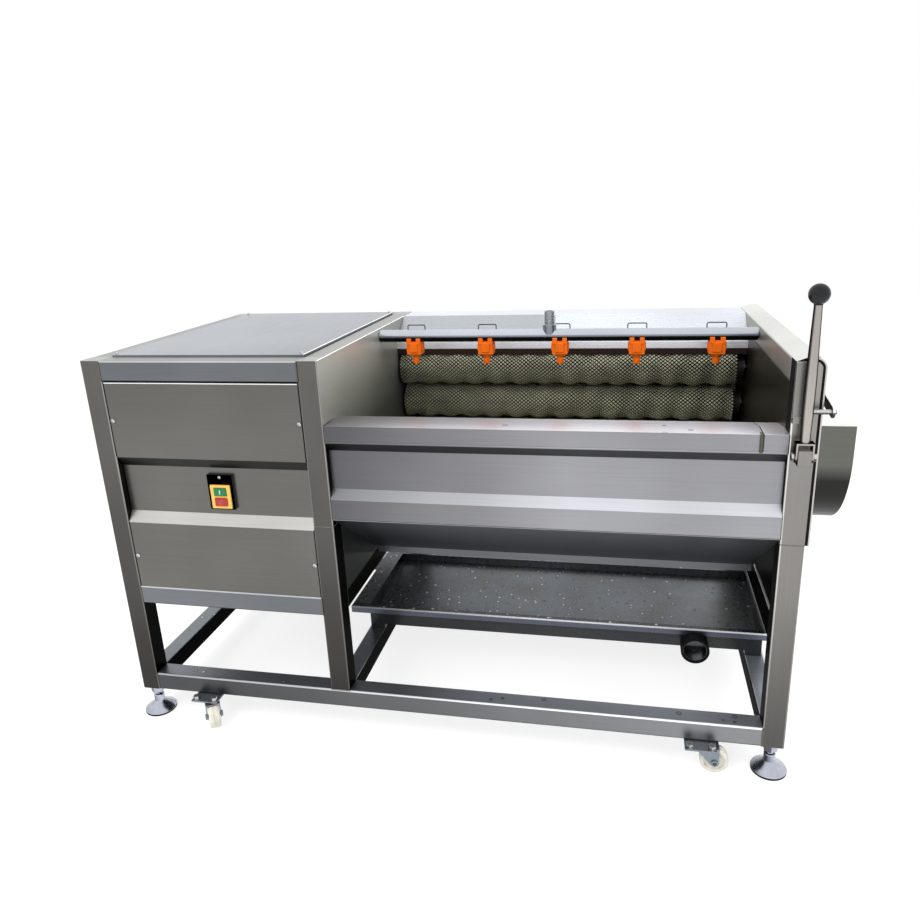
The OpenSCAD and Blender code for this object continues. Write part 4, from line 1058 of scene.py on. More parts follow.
@dataclass(frozen=True)
class Dressed:
    """One CAD node whose shape is right and whose edges are softened."""

    node: str
    name: str
    finish: Finish
    edge: float
    slot: str
    body: str = FRAME_BODY
    segments: int = 2
    sharp: float = FOLD
    dissolve: bool = True
    drawn: bool = False

    def dress(self, washer: Washer) -> None:
        """Copies the node, rounds its edges and puts the copy in its place."""
        piece = washer.copy_node(self.node, self.name, self.dissolve)
        if self.drawn:
            Bench.round_long(piece, self.edge)
        else:
            Bench.soften(piece, self.edge, self.segments, self.sharp)
        washer.put(piece, self.finish, self.body, self.node, slot=self.slot)


@dataclass(frozen=True)
class Strip:
    """A thin straight piece that only the scene has: the tray's lip, the rail's tab, and strips that paint
    highlights and a shadow.
    """

    name: str
    low: Point
    high: Point
    edge: float
    finish: Finish
    slot: str = "bright_steel"
    segments: int = 3
    body: str = FRAME_BODY

    def lay(self, washer: Washer) -> None:
        """Makes the strip and puts it in its place."""
        strip = Bench.block(self.name, self.low, self.high, self.edge, self.segments)
        washer.put(strip, self.finish, self.body, slot=self.slot)


@dataclass
class Steelwork:
    """The frame tubes, the folded sheets, the walls and the plates."""

    sheets: tuple[Dressed, ...] = (
        Dressed("frame_posts", "post_tubes", Finish.POST, 4.5, "stainless", drawn=True),
        Dressed("base_rails", "base_tubes", Finish.BASE, 5.0, "stainless", drawn=True),
        Dressed("upper_rails", "upper_tubes", Finish.RAIL, 4.0, "stainless", drawn=True),
        Dressed("left_end_wall", "inner_wall", Finish.WALL, 0.8, "stainless"),
        Dressed("right_end_wall", "outer_wall", Finish.DARK_WALL, 0.8, "stainless"),
        Dressed("trough_front", "trough_panel", Finish.TROUGH, 0.9, "dark_steel"),
        Dressed("front_rail", "feed_rail", Finish.TROUGH, 0.9, "stainless"),
        Dressed("trough_rear", "rear_panel", Finish.REAR, 0.9, "stainless"),
        Dressed("hopper_sheets", "hopper_plates", Finish.HOPPER, 0.9, "dark_steel"),
        Dressed("end_gasket", "end_seal", Finish.RUBBER, 0.8, "gasket_rubber"),
        Dressed("end_cover", "end_plate", Finish.END_PLATE, 0.8, "stainless"),
        Dressed("chute", "spout_shell", Finish.SPOUT, 0.6, "stainless"),
        Dressed("lever_bracket", "lever_mount", Finish.BRACKET, 1.2, "stainless"),
        Dressed("cabinet_front_panel", "cabinet_door", Finish.CABINET, 0.9, "stainless"),
        Dressed("cabinet_panels", "cabinet_sheets", Finish.CABINET, 0.6, "stainless"),
        Dressed("tray", "drip_tray", Finish.TRAY, 0.8, "dark_steel", dissolve=False),
        Dressed("top_cover", "cabinet_lid", Finish.COVER, 0.9, "mirror_steel", "top_cover"),
        Dressed("gate", "gate_plate", Finish.SPOUT, 0.8, "stainless", "gate"),
        Dressed("gate_link", "link_bar", Finish.SPOUT, 1.0, "stainless", "gate_link"),
    )
    strips: tuple[Strip, ...] = (
        Strip("tray_lip", (507.6, 284.4, 187.5), (1692.4, 287.2, 207.4), 1.2, Finish.LIP, "stainless"),
        # Painted highlight: a near-white strip along the lip's top edge.
        Strip("lip_hem", (507.6, 283.4, 202.6), (1692.4, 286.0, 207.8), 1.0, Finish.HEM),
        # The tab is oiled steel, and its dark finish also paints the dark reflection beside the rail's end.
        Strip("rail_tab", (1544, -6.0, 796), (1550, 12.0, 837), 1.4, Finish.OILED, "stainless"),
        # Painted highlight: a near-white strip across the splash plate.
        Strip("splash_hem", (1641.0, 51.0, 297.8), (1646.2, 749.0, 302.4), 0.8, Finish.EDGE, segments=2),
        # Painted shadow: a dark strip where the top of the first roller lies in shade.
        Strip(
            "guard_skirt", (602, 600.5, 884.0), (1598, 602.5, 900.5), 0.5, Finish.SKIRT, "gasket_rubber", 2,
        ),
        # Painted highlights: near-white strips along the door's top, the inner wall's top edge and the
        # cover's right edge.
        Strip("door_hem", (53.0, 1.3, 929.8), (547.0, 3.0, 932.6), 0.5, Finish.EDGE, segments=2),
        Strip("wall_edge", (598.0, 3.0, 983.0), (601.0, 694.0, 985.7), 0.8, Finish.EDGE),
        Strip("lid_edge", (545.6, 53.0, 988.4), (548.3, 747.0, 990.6), 0.7, Finish.EDGE, body="top_cover"),
    )

    def rear_sheet(self, washer: Washer) -> None:
        """Lays the second sheet on the left half of the rear guard's slope."""
        low, high, fall = 605.0, 695.0, 66.0
        angle = math.degrees(math.atan2(fall, high - low))
        length = math.hypot(high - low, fall)
        sheet = Bench.block("rear_sheet", (603, low + 4, 921.1), (1066, low + length - 3, 922.5), 0.5)
        Bench.tilt(sheet, (0, low, 919.0), angle)
        washer.put(sheet, Finish.REAR_SHEET, FRAME_BODY, slot="stainless")

    def drain_sleeve(self, washer: Washer) -> None:
        """Slips a dark sleeve on the tray's drain."""
        length, inner, outer = 36.0, 31.6, 36.6
        profile = [
            (inner, 0.0), (35.0, 0.0), (outer, 1.6), (outer, 33.0), (35.8, length), (inner, length),
            (inner, 0.0),
        ]
        sleeve = Bench.turned("drain_sleeve", profile, (1468, 246.0, 163.5), Axis.Y, 56)
        washer.put(sleeve, Finish.RUBBER, FRAME_BODY, slot="gasket_rubber")

    def plates(self, washer: Washer) -> None:
        """Hangs the splash plate at the discharge end and lines the trough's inner wall."""
        outline = ((50.5, 212.0), (749.5, 212.0), (749.5, 591.0), (50.5, 591.0))
        splash = Bench.plate("splash_plate", outline, 1646.0, 1647.6)
        washer.put(splash, Finish.SPLASH, FRAME_BODY, slot="stainless")
        outline = ((1.0, 836.0), (604.0, 836.0), (604.0, 918.0), (693.0, 983.4), (1.0, 983.4))
        lining = Bench.plate("wall_lining", outline, 600.1, 600.7)
        washer.put(lining, Finish.WALL, FRAME_BODY, slot="stainless")

    def end_cap(self, washer: Washer) -> None:
        """Caps the discharge end's top rail with a sheet that slopes up and then runs flat."""
        ramp = Bench.block("cap_ramp", (1600.4, 0.6, 984.6), (1624.8, 799.4, 985.6), 0.3)
        Bench.tilt(ramp, (1600.4, 0, 985.0), -20.6, Axis.Y)
        flat = Bench.block("cap_flat", (1622.6, 0.6, 993.1), (1646.0, 799.4, 994.1), 0.3)
        washer.put(Bench.join("end_cap", [ramp, flat]), Finish.RAIL, FRAME_BODY, slot="stainless")

    def door_seal(self, washer: Washer) -> None:
        """Lays black strips that paint the shadow gaps along the door's upright edges, either side of its
        recess, and along its upper edge.
        """
        runs = [((x, 1.2, low), (x + 2.4, 5.0, high)) for low, high in ((394.0, 571.0), (746.0, 933.5))
                for x in (50.2, 547.4)]
        runs.append(((50.2, 1.2, 932.9), (549.8, 5.0, 934.8)))
        shadow_gaps = Bench.join("door_seal", [Bench.block("door_strip", low, high, 0.4) for low, high in runs])
        washer.put(shadow_gaps, Finish.RUBBER, FRAME_BODY, slot="gasket_rubber")

    def cover_pins(self, washer: Washer) -> None:
        """Sets a pin at each corner of the top cover."""
        profile = [(0.0, 0.0), (3.6, 0.0), (3.6, 4.0), (2.8, 5.4), (0.0, 6.0)]
        places = [(x, y) for x in (60.0, 540.0) for y in (60.0, 740.0)]
        pins = [Bench.turned("cover_pin", profile, (x, y, 989.6), steps=20) for x, y in places]
        washer.put(Bench.join("cover_pins", pins), Finish.SCREW, "top_cover", slot="bright_steel")

    def build(self, washer: Washer) -> None:
        """Dresses every sheet and tube, and adds the small folded pieces."""
        for sheet in self.sheets:
            sheet.dress(washer)
        for strip in self.strips:
            strip.lay(washer)
        self.rear_sheet(washer)
        self.drain_sleeve(washer)
        self.plates(washer)
        self.end_cap(washer)
        self.door_seal(washer)
        self.cover_pins(washer)


@dataclass
class Brushes:
    """The nine brush rollers: tufts in a staggered lattice whose height runs in a helical wave."""

    count: int = 9
    cradle: tuple[float, float] = (400.0, 723.0)
    cradle_radius: float = 265.0
    first: float = 26.5
    spacing: float = 113.2
    core: float = 31.0
    tip: float = 53.8
    low_tip: float = 46.5
    start: float = 606.0
    end: float = 1594.0
    per_ring: int = 30
    pitch: float = 12.2
    tuft_root: float = 1.9
    tuft_tip: float = 3.7
    wave: float = 70.0
    wave_turn: float = 1.7

    def centre(self, k: int) -> tuple[float, float]:
        """Returns y and z of roller k's axis in drawing millimetres."""
        step = 2 * math.asin(self.spacing / 2 / self.cradle_radius)
        angle = math.radians(self.first) - (k - 1) * step
        y, z = self.cradle
        return (y + self.cradle_radius * math.cos(angle), z + self.cradle_radius * math.sin(angle))

    def tuft(self) -> Piece:
        """Makes one tuft on the +Z side of an axis along X: a four-sided stem that spreads to its tip."""
        length = self.tip - self.core + 1.0
        bpy.ops.object.select_all(action="DESELECT")
        bpy.ops.mesh.primitive_cone_add(
            vertices=4, radius1=self.tuft_root * MM, radius2=self.tuft_tip * MM, depth=length * MM,
            end_fill_type="NGON", location=(0, 0, (self.core - 1.0 + length / 2) * MM),
        )
        return Bench.settle(bpy.context.object, "tuft")

    def lattice(self) -> Piece:
        """Arrays the tuft round the core and along it, in two staggered sets, and returns the bristles."""
        tuft = self.tuft()
        turn = Matrix.Rotation(math.pi / self.per_ring, 4, "X")
        half = Matrix.Translation((self.pitch / 2 * MM, 0, 0)) @ turn
        pair = Bench.join("tuft_pair", [tuft, Bench.copy(tuft, "tuft_half", half)])
        hub = bpy.data.objects.new("tuft_hub", None)
        hub.rotation_euler = (math.tau / self.per_ring, 0, 0)
        bpy.context.scene.collection.objects.link(hub)
        bpy.context.view_layer.update()
        Bench.finish_modifier(
            pair, "ARRAY", count=self.per_ring, use_relative_offset=False, use_object_offset=True,
            offset_object=hub,
        )
        bpy.data.objects.remove(hub)
        rings = int((self.end - self.start - self.pitch) / self.pitch)
        Bench.finish_modifier(
            pair, "ARRAY", count=rings, use_relative_offset=False, use_constant_offset=True,
            constant_offset_displace=(self.pitch * MM, 0, 0),
        )
        pair.data.transform(Matrix.Translation((at(self.start + self.pitch / 2, 0, 0).x, 0, 0)))
        return pair

    def trim(self, piece: Piece, phase: float) -> None:
        """Cuts the tufts to the helical wave and stores each point's height for the finish.

        Args:
            piece: Bristles round the X axis.
            phase: Turn of the wave in radians.
        """
        mesh = piece.data
        flat = np.empty(len(mesh.vertices) * 3)
        mesh.vertices.foreach_get("co", flat)
        points = flat.reshape(-1, 3)
        radius = np.hypot(points[:, 1], points[:, 2])
        turn = np.arctan2(points[:, 2], points[:, 1])
        crest = 0.5 + 0.5 * np.sin(points[:, 0] / (self.wave * MM) * math.tau + turn + phase)
        reach = (self.low_tip + (self.tip - self.low_tip) * crest) * MM
        core = self.core * MM
        share = np.clip((radius - core) / (self.tip * MM - core), 0.0, 1.0)
        wanted = np.where(radius > core, core + share * (reach - core), radius)
        points[:, 1:] *= (wanted / np.maximum(radius, 1e-9))[:, None]
        mesh.vertices.foreach_set("co", points.ravel())
        layer = mesh.attributes.new(TUFT_LAYER, "FLOAT", "POINT")
        layer.data.foreach_set("value", share.astype(np.float32))
        mesh.update()

    def body(self) -> Piece:
        """Makes the core tube with its end rings."""
        bore, edge = 13.0, self.core
        length = self.end - self.start
        profile = [
            (bore, 0.0), (edge - 1.0, 0.0), (edge, 1.0),
            (edge, length - 1.0), (edge - 1.0, length), (bore, length),
        ]
        return Bench.turned("brush_core", profile, (self.start, Y_SHIFT, 0.0), Axis.X, 40)

    def build(self, washer: Washer) -> None:
        """Makes one set of bristles and puts a turned copy of it on each roller."""
        bristles = self.lattice()
        core = self.body()
        for k in range(1, self.count + 1):
            y, z = self.centre(k)
            brush = Bench.copy(bristles, f"bristles_{k}", Matrix.Identity(4))
            self.trim(brush, self.wave_turn * k)
            tube = Bench.copy(core, f"core_{k}", Matrix.Identity(4))
            brush = Bench.join(f"brush_{k}", [brush, tube])
            brush.data.transform(Matrix.Translation((0, (y - Y_SHIFT) * MM, z * MM)))
            washer.put(brush, Finish.BRUSH, f"roller_{k}", f"roller_{k}", slot="bristle_nylon")
            ends = []
            for x, out in ((self.start + 2, 1), (self.end - 2, -1)):
                ends.append(Bench.cut(washer.copy_node(f"roller_{k}", f"shaft_{k}"), (x, 0, 0), (out, 0, 0)))
            axle = Bench.soften(Bench.join(f"roller_shaft_{k}", ends), 0.5, 1)
            washer.put(axle, Finish.OILED, f"roller_{k}", f"roller_{k}")
        bpy.data.objects.remove(bristles)
        bpy.data.objects.remove(core)


@dataclass
class Spray:
    """The spray pipe with its inlet, the clip-on nozzles and their wire bails."""

    places: tuple[float, ...] = (700.0, 900.0, 1100.0, 1300.0, 1500.0)
    pipe_y: float = 455.0
    pipe_z: float = 968.0
    hinge_y: float = 476.5
    hinge_z: float = 958.5
    bail_half: float = 24.5
    bail_top: float = 32.0
    inlet_x: float = 1072.0

    def pipe(self, washer: Washer) -> None:
        """Dresses the pipe, cuts a thread on its inlet and puts a jacket round it."""
        Dressed("spray_pipe", "spray_tube", Finish.PIPE, 0.6, "bright_steel", sharp=25.0).dress(washer)
        profile = [(12.0, 0.0), *thread_profile(13.3, 12.5, 1.0), (12.0, 29.0)]
        inlet = (self.inlet_x, self.pipe_y, self.pipe_z + 30.5)
        thread = Bench.turned("inlet_thread", profile, inlet, steps=40)
        jacket = [(12.0, 0.0), (15.8, 0.0), (16.6, 0.8), (16.6, 995.2), (15.8, 996.0), (12.0, 996.0)]
        sleeve = Bench.turned("pipe_jacket", jacket, (602.0, self.pipe_y, self.pipe_z - 3.7), Axis.X, 48)
        washer.put(sleeve, Finish.PIPE, FRAME_BODY, slot="bright_steel")
        # The thread's near-white finish is a painted highlight.
        washer.put(thread, Finish.EDGE, FRAME_BODY, slot="bright_steel")

    def clip(self, x: float) -> list[Piece]:
        """Makes the mouldings of one nozzle that the CAD solid leaves plain.

        Args:
            x: The nozzle's place along the pipe.

        Returns:
            Its tip, its collar, its ears, its wings and its rib.
        """
        y, z = self.pipe_y, self.pipe_z
        tip = [(3.0, -1.0), (7.5, -1.0), (8.6, 1.0), (9.6, 7.0), (9.6, 12.0), (8.0, 13.0)]
        collar = [(9.0, 0.0), (12.0, 0.0), (13.0, 1.2), (13.0, 5.0), (12.0, 6.0), (9.0, 6.0)]
        parts = [Bench.turned("tip", tip, (x, y, z - 79)), Bench.turned("collar", collar, (x, y, z - 60))]
        for side in (-1, 1):
            ear, wing = x + side * 13, x + side * 20
            parts.append(Bench.block("ear", (ear - 6, y - 20.5, z - 26), (ear + 6, y - 13, z - 9), 1.2))
            parts.append(Bench.block("wing", (wing - 3, y - 12, z - 44), (wing + 3, y + 12, z - 24), 1.2))
        parts.append(Bench.block("rib", (x - 11, y - 21.5, z - 47), (x + 11, y - 17, z - 22), 1.4))
        return parts

    def nozzles(self, washer: Washer) -> None:
        """Dresses all the nozzles as one moulded set."""
        front = Bench.cut(washer.copy_node("spray_nozzles", "nozzle_front"), (0, self.pipe_y, 0), (0, 1, 0))
        Bench.cut(front, (0, 0, self.pipe_z - 18.0), (0, 0, 1))
        rear = Bench.cut(washer.copy_node("spray_nozzles", "nozzle_rear"), (0, self.pipe_y, 0), (0, -1, 0))
        parts = [Bench.soften(front, 1.2), Bench.soften(rear, 1.2)]
        for x in self.places:
            parts += self.clip(x)
        nozzles = Bench.join("nozzle_set", parts)
        washer.put(nozzles, Finish.ORANGE, FRAME_BODY, "spray_nozzles", slot="orange_plastic")

    def bails(self, washer: Washer) -> None:
        """Bends one wire bail for each nozzle."""
        y, low, high = self.hinge_y, self.hinge_z, self.hinge_z + self.bail_top
        for k, x in enumerate(self.places, 1):
            left, right = x - self.bail_half, x + self.bail_half
            path = [(left, y, low), (left, y, high), (right, y, high), (right, y, low)]
            bail = Bench.wire(f"bail_wire_{k}", path, 1.5, True, 5.0)
            washer.put(bail, Finish.WIRE, f"nozzle_bail_{k}", f"nozzle_bail_{k}", slot="bright_steel")

    def build(self, washer: Washer) -> None:
        """Builds the pipe, the nozzles and the bails."""
        self.pipe(washer)
        self.nozzles(washer)
        self.bails(washer)


@dataclass
class Switch:
    """The black switch plate with its yellow frame and two buttons."""

    x: float = 313.0
    z: float = 658.5
    plate_y: float = 12.0
    bezel_z: float = 647.5
    pitch: float = 26.0
    face_y: float = 5.0

    def build(self, washer: Washer) -> None:
        """Builds the plate, the frame, the buttons and their marks."""
        x, face, mark = self.x, (0, self.plate_y, 0), self.face_y - 0.4
        plate = Bench.cut(washer.copy_node("switch_body", "switch_plate"), face, (0, -1, 0))
        Bench.soften(plate, 1.6, 3)
        washer.put(plate, Finish.SWITCH_BLACK, FRAME_BODY, "switch_body", slot="black_plastic")
        bezel = Bench.cut(washer.copy_node("switch_body", "switch_bezel"), face, (0, 1, 0))
        washer.put(Bench.soften(bezel, 0.9), Finish.YELLOW, FRAME_BODY, "switch_body")
        for name, finish in (("start", Finish.GREEN), ("stop", Finish.RED)):
            button, slot = f"{name}_button", f"{finish.name.lower()}_plastic"
            Dressed(button, f"{button}_cap", finish, 1.2, slot, button, 3, SHARP).dress(washer)
        high, low = self.bezel_z + self.pitch / 2, self.bezel_z - self.pitch / 2
        bar = Bench.block("start_mark", (x - 1, mark, high - 5), (x + 1, self.face_y + 1, high + 5), 0.2)
        washer.put(bar, Finish.MARK_WHITE, "start_button")
        profile = [(3.6, 0.0), (3.6, 1.2), (5.4, 1.2), (5.4, 0.0)]
        ring = Bench.turned("stop_mark", profile, (x, mark, low), Axis.Y, 32)
        washer.put(ring, Finish.MARK_WHITE, "stop_button")
        head = ScrewHead(4.0, 2.0)
        screws = [head.make("plate_screw", (x, self.plate_y, self.z + up)) for up in (38.0, -39.5)]
        washer.put(Bench.join("plate_screws", screws), Finish.SCREW, FRAME_BODY)


@dataclass(frozen=True)
class ScrewHead:
    """A domed screw head with a recess for the driver, on a face that looks to the front."""

    radius: float
    height: float

    def make(self, name: str, seat: Point) -> Piece:
        """Makes the head.

        Args:
            name: The piece's name.
            seat: Centre of its seat, in drawing millimetres.

        Returns:
            The new piece.
        """
        r, h = self.radius, self.height
        profile = [
            (r, 0.0), (r, -0.25 * h), (0.86 * r, -0.62 * h), (0.6 * r, -0.86 * h), (0.26 * r, -0.97 * h),
            (0.2 * r, -0.6 * h), (0.0, -0.6 * h),
        ]
        return Bench.turned(name, profile, seat, Axis.Y, 28)


@dataclass
class Fasteners:
    """Panel screws, spout stand-offs, end cover bolts and the lever's pivot bolt."""

    panel_x: tuple[float, ...] = (59.0, 541.0)
    panel_z: tuple[float, ...] = (479.0, 837.0)
    panel_y: float = 2.0
    skin_x: float = 1658.0
    flange_x: float = 1667.0
    lever: tuple[float, float, float] = (1625.0, -20.0, 795.0)
    lever_reach: float = 17.8
    duct: tuple[float, float] = (400.0, 723.0)
    standoff_radius: float = 231.0

    def standoffs(self) -> list[tuple[float, float]]:
        """Returns y and z of the spout's stand-offs."""
        (y, z), radius = self.duct, self.standoff_radius
        places = [(y - radius, 761.5)]
        for angle in (215, 257, 283):
            turn = math.radians(angle)
            places.append((y + radius * math.cos(turn), z + radius * math.sin(turn)))
        return places

    def build(self, washer: Washer) -> None:
        """Makes every fastener."""
        places = [(x, self.panel_y, z) for x in self.panel_x for z in self.panel_z]
        head = ScrewHead(6.0, 4.0)
        screws = Bench.join("panel_heads", [head.make("panel_head", place) for place in places])
        washer.put(screws, Finish.SCREW, FRAME_BODY, "panel_screws", slot="bright_steel")
        spacer = ring_profile(3.0, 6.0, 9.0)
        ring = ring_profile(4.0, 8.0, 1.4)
        parts = []
        for y, z in self.standoffs():
            parts.append(Bench.turned("spacer", spacer, (self.skin_x, y, z), Axis.X, 28))
            parts.append(Bench.hexagon("spout_nut", 11.0, 5.0, (self.flange_x + 2, y, z), Axis.X))
        for y in (25.0, 775.0):
            for z in (742.25, 642.0):
                parts.append(Bench.turned("cover_washer", ring, (self.skin_x, y, z), Axis.X, 28))
                parts.append(Bench.hexagon("cover_bolt", 12.0, 3.6, (self.skin_x + 1.4, y, z), Axis.X))
        (x, y, z), reach = self.lever, self.lever_reach
        parts.append(Bench.turned("pivot", [(5.0, -reach), (5.0, reach)], (x, y, z), Axis.X, 28))
        parts.append(Bench.hexagon("pivot_head", 16.0, 6.0, (x + reach, y, z), Axis.X))
        parts.append(Bench.hexagon("pivot_nut", 16.0, -6.0, (x - reach, y, z), Axis.X))
        fasteners = Bench.join("end_fasteners", parts)
        washer.put(fasteners, Finish.SCREW, FRAME_BODY, "fixings", slot="bright_steel")


@dataclass
class Lever:
    """The gate lever: a strap on the pivot, a tapered rod, the link's cross pin and the ball knob."""

    x: float = 1625.0
    y: float = -20.0
    pivot_z: float = 795.0
    strap_top: float = 31.0
    length: float = 322.0
    knob_r: float = 20.0

    def build(self, washer: Washer) -> None:
        """Builds the lever and its knob."""
        top = (0, 0, self.pivot_z + self.strap_top)
        strap = Bench.soften(Bench.cut(washer.copy_node("gate_lever", "lever_strap"), top, (0, 0, 1)), 1.2)
        low = self.pivot_z + self.strap_top - 3
        rise = self.length - self.strap_top - 6
        profile = [
            (3.0, 0.0), (9.4, 0.0), (9.4, 8.0), (9.6, 14.0), (11.0, 60.0), (11.0, 130.0),
            (8.0, rise - 14.0), (8.0, rise), (3.0, rise),
        ]
        rod = Bench.turned("lever_rod", profile, (self.x, self.y, low), steps=36)
        pin = [(2.0, 0.0), (5.0, 0.0), (5.0, 51.0), (4.2, 52.0), (2.0, 52.0)]
        cross = Bench.turned("cross_pin", pin, (self.x, self.y, self.pivot_z + 94), Axis.X, 28)
        lever = Bench.join("lever_arm", [strap, rod, cross])
        washer.put(lever, Finish.LEVER, "gate_lever", "gate_lever", slot="chrome")
        ball = [(7.0, -20.5), (8.6, -20.0), (8.6, -18.0)]
        for i in range(2, 19):
            turn = math.radians(-90 + i * 10)
            ball.append((self.knob_r * math.cos(turn), self.knob_r * math.sin(turn)))
        ball.append((0.0, self.knob_r))
        knob = Bench.turned("ball_knob", ball, (self.x, self.y, self.pivot_z + self.length), steps=48)
        washer.put(knob, Finish.KNOB_BLACK, "gate_lever", "lever_knob", slot="black_gloss")


@dataclass
class Feet:
    """The levelling feet: a dished plate on a rubber ring, a hub, a threaded stem and a nut."""

    places: tuple[tuple[float, float], ...] = ((25.0, 25.0), (1625.0, 25.0), (25.0, 775.0), (1625.0, 775.0))

    def build(self, washer: Washer) -> None:
        """Builds one foot at each corner post."""
        dish = [
            (38.0, 5.0), (40.6, 5.0), (41.0, 6.0), (40.0, 7.6), (28.0, 16.0), (17.0, 24.6), (13.6, 28.6),
            (13.0, 30.0), (9.0, 30.0),
        ]
        stem = [
            (0.0, 30.0), *thread_profile(8.0, 7.2, 41.0),
            (8.0, 80.0), (8.0, 115.0), (7.0, 116.0), (0.0, 116.0),
        ]
        hub = [(7.0, 29.0), (13.4, 29.0), (13.4, 46.0), (12.0, 48.0), (7.0, 48.0)]
        ring = [(0.0, 0.0), (39.8, 0.0), (40.8, 1.0), (40.8, 4.6), (39.4, 5.2), (0.0, 5.2)]
        for k, (x, y) in enumerate(self.places, 1):
            foot = Bench.join(f"foot_plate_{k}", [
                Bench.turned("foot_dish", dish, (x, y, 0.0), steps=64),
                Bench.turned("foot_stem", stem, (x, y, 0.0), steps=28),
                Bench.turned("foot_hub", hub, (x, y, 0.0)),
                Bench.hexagon("foot_nut", 30.0, 22.0, (x, y, 57.6)),
            ])
            washer.put(foot, Finish.CHROME, f"foot_{k}", f"foot_{k}", slot="chrome")
            pad = Bench.turned(f"foot_pad_{k}", ring, (x, y, 0.0), steps=64)
            washer.put(pad, Finish.RUBBER, f"foot_{k}", slot="gasket_rubber")


@dataclass
class Casters:
    """The casters: bolted plates, pressed forks with their ball races, and nylon wheels."""

    places: tuple[tuple[float, float, float], ...] = (
        (200.0, 2.0, -55.0), (1463.0, 2.0, 0.0), (200.0, 798.0, 55.0), (1463.0, 798.0, 0.0),
    )
    trail: float = 34.0
    axle_z: float = 35.0
    wheel_half: float = 14.0
    wheel_r: float = 33.0

    def plates(self, washer: Washer) -> None:
        """Dresses the plates and sets washers and nuts on their outer corners."""
        race = [(8.0, 0.0), (22.0, 0.0), (24.0, 1.0), (24.0, 2.0), (8.0, 2.0)]
        ring = ring_profile(5.0, 9.0, 1.6)
        parts = [Bench.soften(washer.copy_node("caster_plates", "caster_mounts"), 0.8)]
        nuts = []
        for x, y, _ in self.places:
            out = -1 if y < Y_SHIFT else 1
            for dx in (-25.0, 25.0):
                seat = (x + dx, y + out * 26.0, 80.0)
                nuts.append(Bench.turned("nut_washer", ring, seat, steps=28))
                nuts.append(Bench.hexagon("mount_nut", 15.0, 8.0, (seat[0], seat[1], 81.6)))
            parts.append(Bench.turned("upper_race", race, (x, y, 74.2), steps=40))
        mounts = Bench.join("caster_mounts", parts)
        washer.put(mounts, Finish.ZINC, FRAME_BODY, "caster_plates", slot="zinc_steel")
        washer.put(Bench.join("caster_nuts", nuts), Finish.SCREW, FRAME_BODY, slot="bright_steel")

    def fork(self, washer: Washer, k: int) -> None:
        """Dresses fork k with its lower race and its axle nuts."""
        x, y, turn = self.places[k - 1]
        node = f"caster_fork_{k}"
        parts = [Bench.soften(washer.copy_node(node, f"fork_{k}"), 0.9)]
        parts.append(Bench.turned("lower_race", ring_profile(6.0, 21.0, 1.2), (x, y, 72.4), steps=40))
        for side in (-1, 1):
            seat = (x + self.trail, y + side * 18.5, self.axle_z)
            nut = Bench.hexagon("axle_nut", 15.0, side * 4.0, seat, Axis.Y)
            parts.append(Bench.tilt(nut, (x, y, 0), turn, Axis.Z))
        washer.put(Bench.join(f"fork_{k}", parts), Finish.ZINC, node, node, slot="zinc_steel")

    def wheel(self, washer: Washer, k: int) -> None:
        """Turns wheel k: a crowned tread, a sunk web and a hub."""
        x, y, turn = self.places[k - 1]
        r, w = self.wheel_r, self.wheel_half
        half = [
            (5.1, w - 0.5), (10.0, w - 0.5), (11.0, w - 1.5), (12.0, w - 4.5), (22.5, w - 4.5),
            (24.0, w - 0.8), (27.0, w), (30.0, w - 0.6), (32.0, w - 3.0), (r, w - 7.0), (r, 2.4),
            (r - 1.6, 1.4),
        ]
        profile = half + [(radius, -height) for radius, height in reversed(half)] + [half[0]]
        wheel = Bench.turned(f"wheel_{k}", profile, (x + self.trail, y, self.axle_z), Axis.Y, 56)
        Bench.tilt(wheel, (x, y, 0), turn, Axis.Z)
        washer.put(wheel, Finish.NYLON, f"caster_wheel_{k}", f"caster_wheel_{k}", slot="white_nylon")

    def build(self, washer: Washer) -> None:
        """Builds the plates, the forks and the wheels."""
        self.plates(washer)
        for k in range(1, len(self.places) + 1):
            self.fork(washer, k)
            self.wheel(washer, k)


